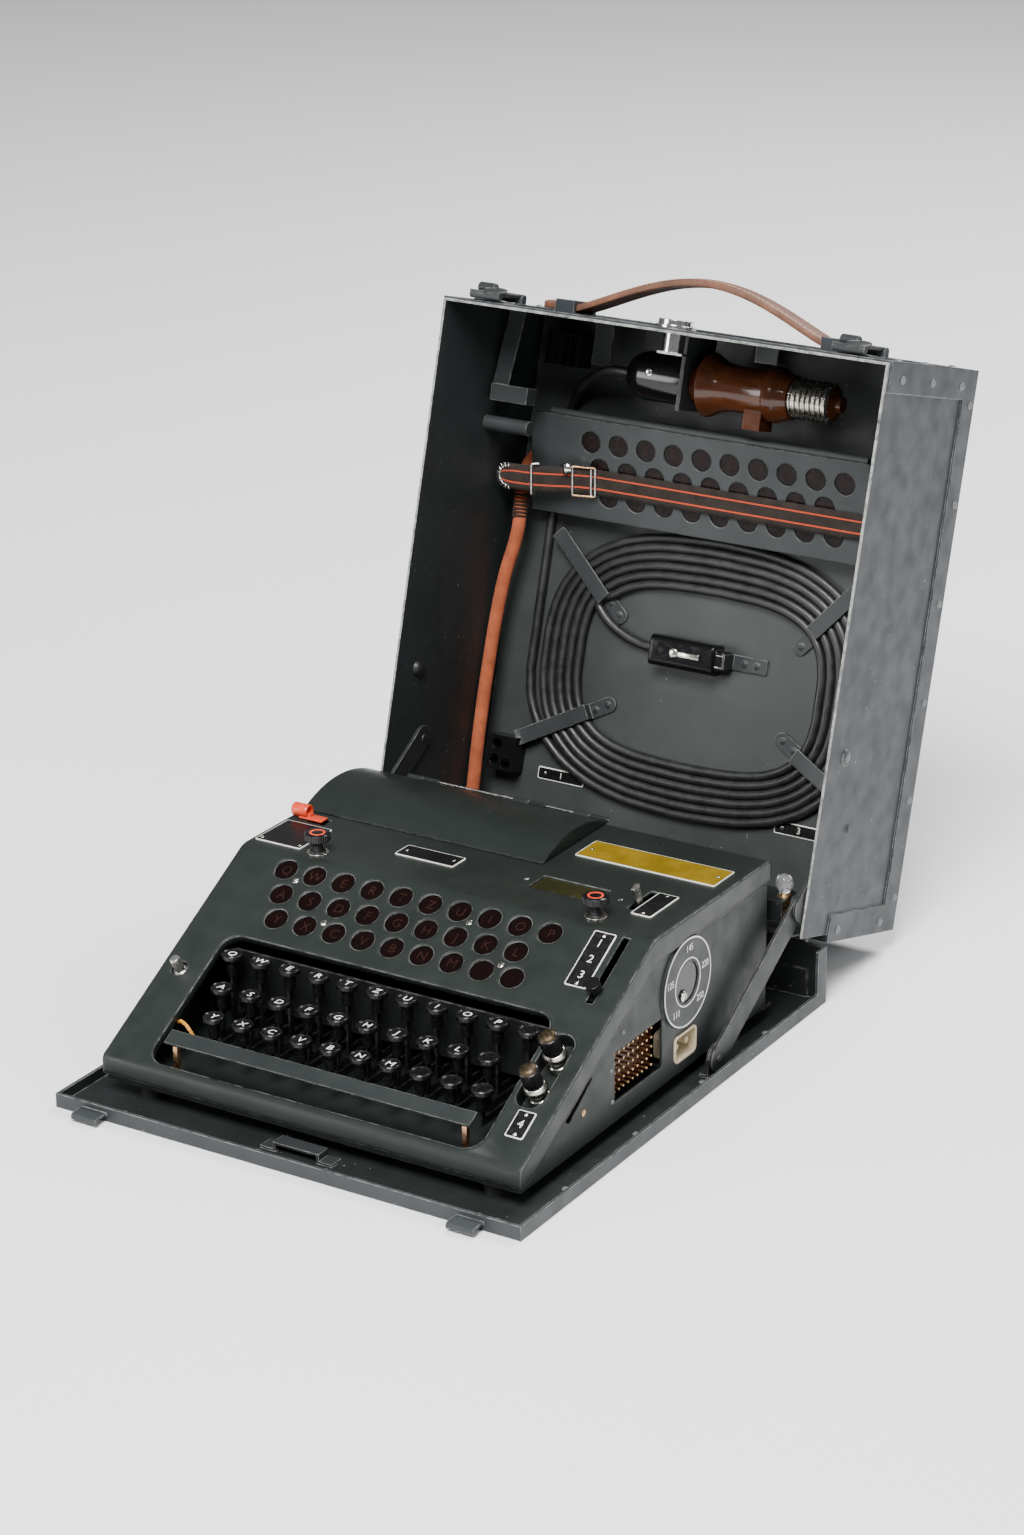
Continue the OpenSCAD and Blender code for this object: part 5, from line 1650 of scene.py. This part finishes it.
@dataclass
class CaseDressing:
    """Finishes of the tray, the cover, what is in it, and the stays."""

    tray_half: float = 162.4
    tray_front: float = -182.9
    tray_wall: float = 2.0
    hinge_line: Spot = (180, 37.8)
    rivet_x: float = 153.5
    rivet_rows: tuple[float, ...] = (-120, -40, 40, 120)
    bulb_y: Spot = (148, 165)
    bulb_z: float = 81.0
    cap_z: float = 67.0
    bulbs: tuple[float, ...] = (145.4, 118.4, 91.4, 64.4, 37.4)
    cover_half: float = 159.9
    cover_depth: float = 131.0
    cover_top: float = 362.9
    plug_shelf: float = 300.0

    def on_tray_rim(self, p: Vector) -> bool:
        """Tell whether a point of the tray lies on its outside or its rim.

        Args:
            p: The point.

        Returns:
            Whether it does.
        """
        outside = abs(p.x) > self.tray_half or p.y < self.tray_front or p.y > -self.tray_front
        inside = abs(p.x) > self.tray_half - self.tray_wall or p.y < self.tray_front + self.tray_wall
        hinge = p.y > self.hinge_line[0] and p.z > self.hinge_line[1]
        return outside or (p.z > 8.9 and inside) or hinge

    def on_tray_rivet(self, p: Vector) -> bool:
        """Tell whether a point of the tray lies on one of its floor rivets.

        Args:
            p: The point.

        Returns:
            Whether it does.
        """
        side_row = near(p.x, -self.rivet_x, self.rivet_x) < 3 and near(p.y, *self.rivet_rows) < 3
        return 2.02 < p.z < 3.2 and (side_row or -175 < p.y < -169)

    def on_bulb_cap(self, p: Vector) -> bool:
        """Tell whether a point of the tray lies on the brass cap of a spare bulb.

        Args:
            p: The point.

        Returns:
            Whether it does.
        """
        high = self.cap_z < p.z < self.bulb_z and p.z != 79.0
        return high and 151.5 < p.y < 161.5 and near(abs(p.x), *self.bulbs) < 4.4

    def build(self) -> None:
        """Finish the tray, the cover and the stays."""
        dress("case_tray", Coat.TRAY_IN, [
            (Coat.TRAY_RIM, self.on_tray_rim),
            (Coat.TRAY_RIM, lambda p: p.y < self.tray_front - 0.2),
            (Coat.FITTING, lambda p: abs(p.x) < 26 and p.y < -150 and p.z > 3),
            (Coat.BULB, lambda p: p.z > self.bulb_z and self.bulb_y[0] < p.y < self.bulb_y[1]),
            (Coat.BRASS, self.on_bulb_cap),
            (Coat.RIVET, self.on_tray_rivet),
        ])
        half, depth, top = self.cover_half, self.cover_depth, self.cover_top
        dress("case_cover", Coat.COVER_IN, [
            (Coat.COVER_BACK, lambda p: 129.3 < p.y < 130 and abs(p.x) < 158),
            (Coat.COVER_OUT, lambda p: abs(p.x) > half or p.y > depth or p.z > top or p.z < 1.49),
            (Coat.COVER_RIM, lambda p: p.y < 1.9 and p.z > 30),
            (Coat.RIVET, lambda p: abs(p.x) > 161.52 and p.y > 5 or p.y > 132.55),
            (Coat.RIVET, lambda p: 364.55 < p.z < 366 and near(abs(p.x), 152.5) < 3),
        ], FRAMES.cover())
        dress("cover_fittings", Coat.FITTING, [
            (Coat.CHROME, lambda p: abs(p.x) < 14 and near(p.y, 22) < 14 and p.z > 340),
            (Coat.BLACK, lambda p: -148.5 < p.x < -126.9 and p.y > 103 and 49 < p.z < 75),
            (Coat.FOOT, lambda p: p.x < -145 and p.y > 101 and p.z < 31),
            (Coat.FOOT, lambda p: abs(p.x) > 154.5 and near(p.y, 27) < 6.5 and near(p.z, 119) < 6.5),
            (Coat.BLACK, lambda p: -144.5 < p.x < -117.5 and p.y > 110 and p.z > 327),
        ], FRAMES.cover())
        for name in ("latch_left", "latch_right"):
            dress(name, Coat.FITTING)
        for name in ("stay_lower", "stay_upper"):
            dress(name, Coat.STAY)
        lettering = Lettering()
        dress("remote_lamp_box", Coat.LAMP_BOX, [
            (Coat.LAMP_RED_DIM, lambda p: -2.7 < p.z < -0.99 and lettering.in_window(p)),
        ], FRAMES.lamp_face())
        shelf = self.plug_shelf
        dress("cord_plugs", Coat.PLUG, [
            (Coat.BROWN, lambda p: p.x > -13 and p.z > shelf),
            (Coat.NICKEL, lambda p: p.x > 57.6 and p.z > shelf),
            (Coat.BROWN, lambda p: p.x > 86.4 and p.z > shelf),
            (Coat.STEEL, lambda p: -17.5 < p.x < -16 and p.z > shelf),
        ], FRAMES.cover())


@dataclass
class MachineDressing:
    """Finishes of the machine's case, hood, works and keys."""

    dial: Spot = (33, 69)
    dial_radius: float = 28.7
    hinge: Spot = (138.8, 111.6)
    key_axle: Spot = (24, 28)
    rotor_axle: Spot = (95, 82)
    counter: Spot = (34, 96)
    first_pin: Spot = (-45, 28)
    pin_pitch: Spot = (5.4, 6.0)
    posts: Spot = (-102.5, 100.5)
    guard_foot: float = 38.9

    @staticmethod
    def out(p: Vector, axis: Spot) -> float:
        """Return a point's distance from an axis along X."""
        return math.hypot(p.y - axis[0], p.z - axis[1])

    def on_pin(self, p: Vector) -> bool:
        """Tell whether a point lies on one of the connector's pins.

        Args:
            p: The point.

        Returns:
            Whether it does.
        """
        y, z = ((c - first) / step for c, first, step in zip(p.yz, self.first_pin, self.pin_pitch))
        off = (y - round(y)) * self.pin_pitch[0], (z - round(z)) * self.pin_pitch[1]
        return math.hypot(*off) < 0.85

    def key(self, name: str) -> None:
        """Finish one key: its black cap and its steel stem.

        Args:
            name: The key's solid.
        """
        low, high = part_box(name)
        front, floor = low.y / MM + 14.0, high.z / MM - 14.05
        dress(name, Coat.WORKS, [(Coat.KEY_CAP, lambda p: p.z > floor and p.y < front)])

    def build(self) -> None:
        """Finish every solid of the machine."""
        dress("machine_case", Coat.BODY, [
            (Coat.FOOT, lambda p: p.z < 11.45),
            (Coat.DISC, lambda p: p.x > 144.75 and self.out(p, self.dial) < self.dial_radius),
        ])
        dress("hood", Coat.HOOD, [(Coat.STEEL, lambda p: self.out(p, self.hinge) < 0.85)])
        dress("rotor_cover", Coat.FLAP)
        foot = self.guard_foot
        dress("chassis", Coat.BLACKED, [
            (Coat.WORKS, lambda p: self.out(p, self.key_axle) < 1.6 or self.out(p, self.rotor_axle) < 5.1),
            (Coat.CREAM, lambda p: 42 < p.x < 86 and self.out(p, self.counter) < 9.6),
            (Coat.PIN_RED, lambda p: 132 < p.x < 135.2 and -55 < p.y < 12),
            (Coat.BRASS, lambda p: p.x > 130 and -50 < p.y < 5.5 and self.on_pin(p)),
            (Coat.CREAM, lambda p: p.x > 130 and 19 < p.y < 46.5 and 18 < p.z < 38),
            (Coat.GUARD, lambda p: -150 < p.y < -136 and foot < p.z < 56),
            (Coat.COPPER, lambda p: -145 < p.y < -120 and 13 < p.z < foot and near(p.x, *self.posts) < 1.6),
        ])
        dress("lamp_windows", Coat.BLACKED, [
            (Coat.LAMP_RED, lambda p: -2.99 < p.z < -0.8 and p.y < 168),
            (Coat.COUNTER, lambda p: p.y > 180),
        ], FRAMES.panel())
        for name, finish in (
            ("power_selector", Coat.BLACK),
            ("counter_lever", Coat.STEEL),
            ("release_lever", Coat.SIGNAL_RED),
            ("voltage_dial", Coat.BLACK),
        ):
            dress(name, finish)
        for i in range(1, 6):
            rim = (Coat.BLACK, lambda p: self.out(p, self.rotor_axle) > 33.5)
            dress(f"rotor_{i}", Coat.WORKS, [rim])
        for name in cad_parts:
            if name.startswith("key_"):
                self.key(name)


# ---- assembly ----


def plates() -> None:
    """Fit every name plate, bare or with plain figures."""
    panel, top, back = FRAMES.panel(), FRAMES.top(), FRAMES.back_panel()
    three, four = (("1", 12, 8), ("2", 0, 8), ("3", -12, 8)), (("4", 0, 8),)
    ends, close_ends = ((0, 18), (0, -18)), ((0, 7), (0, -7))
    for plate in (
        NamePlate("selector_plate", panel, (115.5, 148.2), (15, 41.5), marks=three, holes=ends),
        NamePlate("battery_plate", panel, (131, 29.4), (12, 19), marks=four, holes=close_ends),
        NamePlate("lever_plate", top, (121.2, 37.5), (14, 35), holes=((0, 14.5), (0, -14.5))),
        NamePlate("middle_plate", top, (-34.8, 33), (42.5, 16), holes=((-17, 0), (17, 0))),
        NamePlate("left_plate", top, (-127, 19), (34, 36), holes=((-14, -14), (14, -14))),
        NamePlate("ochre_plate", top, (89, 93), (98, 26), Coat.PLATE_OCHRE, holes=((-44, 0), (44, 0))),
    ):
        plate.build()
    for number, centre in enumerate(((-96.5, 52.5), (-2, 54), (86, 50.5)), 1):
        name, marks = f"back_plate_{number}", ((str(number), 0, 6),)
        NamePlate(name, back, centre, (36, 8.5), marks=marks, holes=((-12.5, 0),), body="cover").build()


def main() -> None:
    """Build the scene: camera and cords first, then pieces, then the solids' finishes."""
    logging.basicConfig(level=logging.INFO)
    studio = Studio()
    studio.camera()
    for cord in (MainsCord(), LampCable()):
        cord.build()
    studio.build()
    for piece in (CarryHandle(), CanvasStrap()):
        piece.build()
    plates()
    for piece in (Lettering(), VoltageDisc(), Terminals(), SmallParts(), ReleaseLever()):
        piece.build()
    for dressing in (CaseDressing(), MachineDressing()):
        dressing.build()
    dress("mains_cord_coil", Coat.RUBBER)
    dress("mains_cord_leads", Coat.RUBBER)
    dress("lamp_cable", Coat.BRAID)


if __name__ == "__main__":
    main()
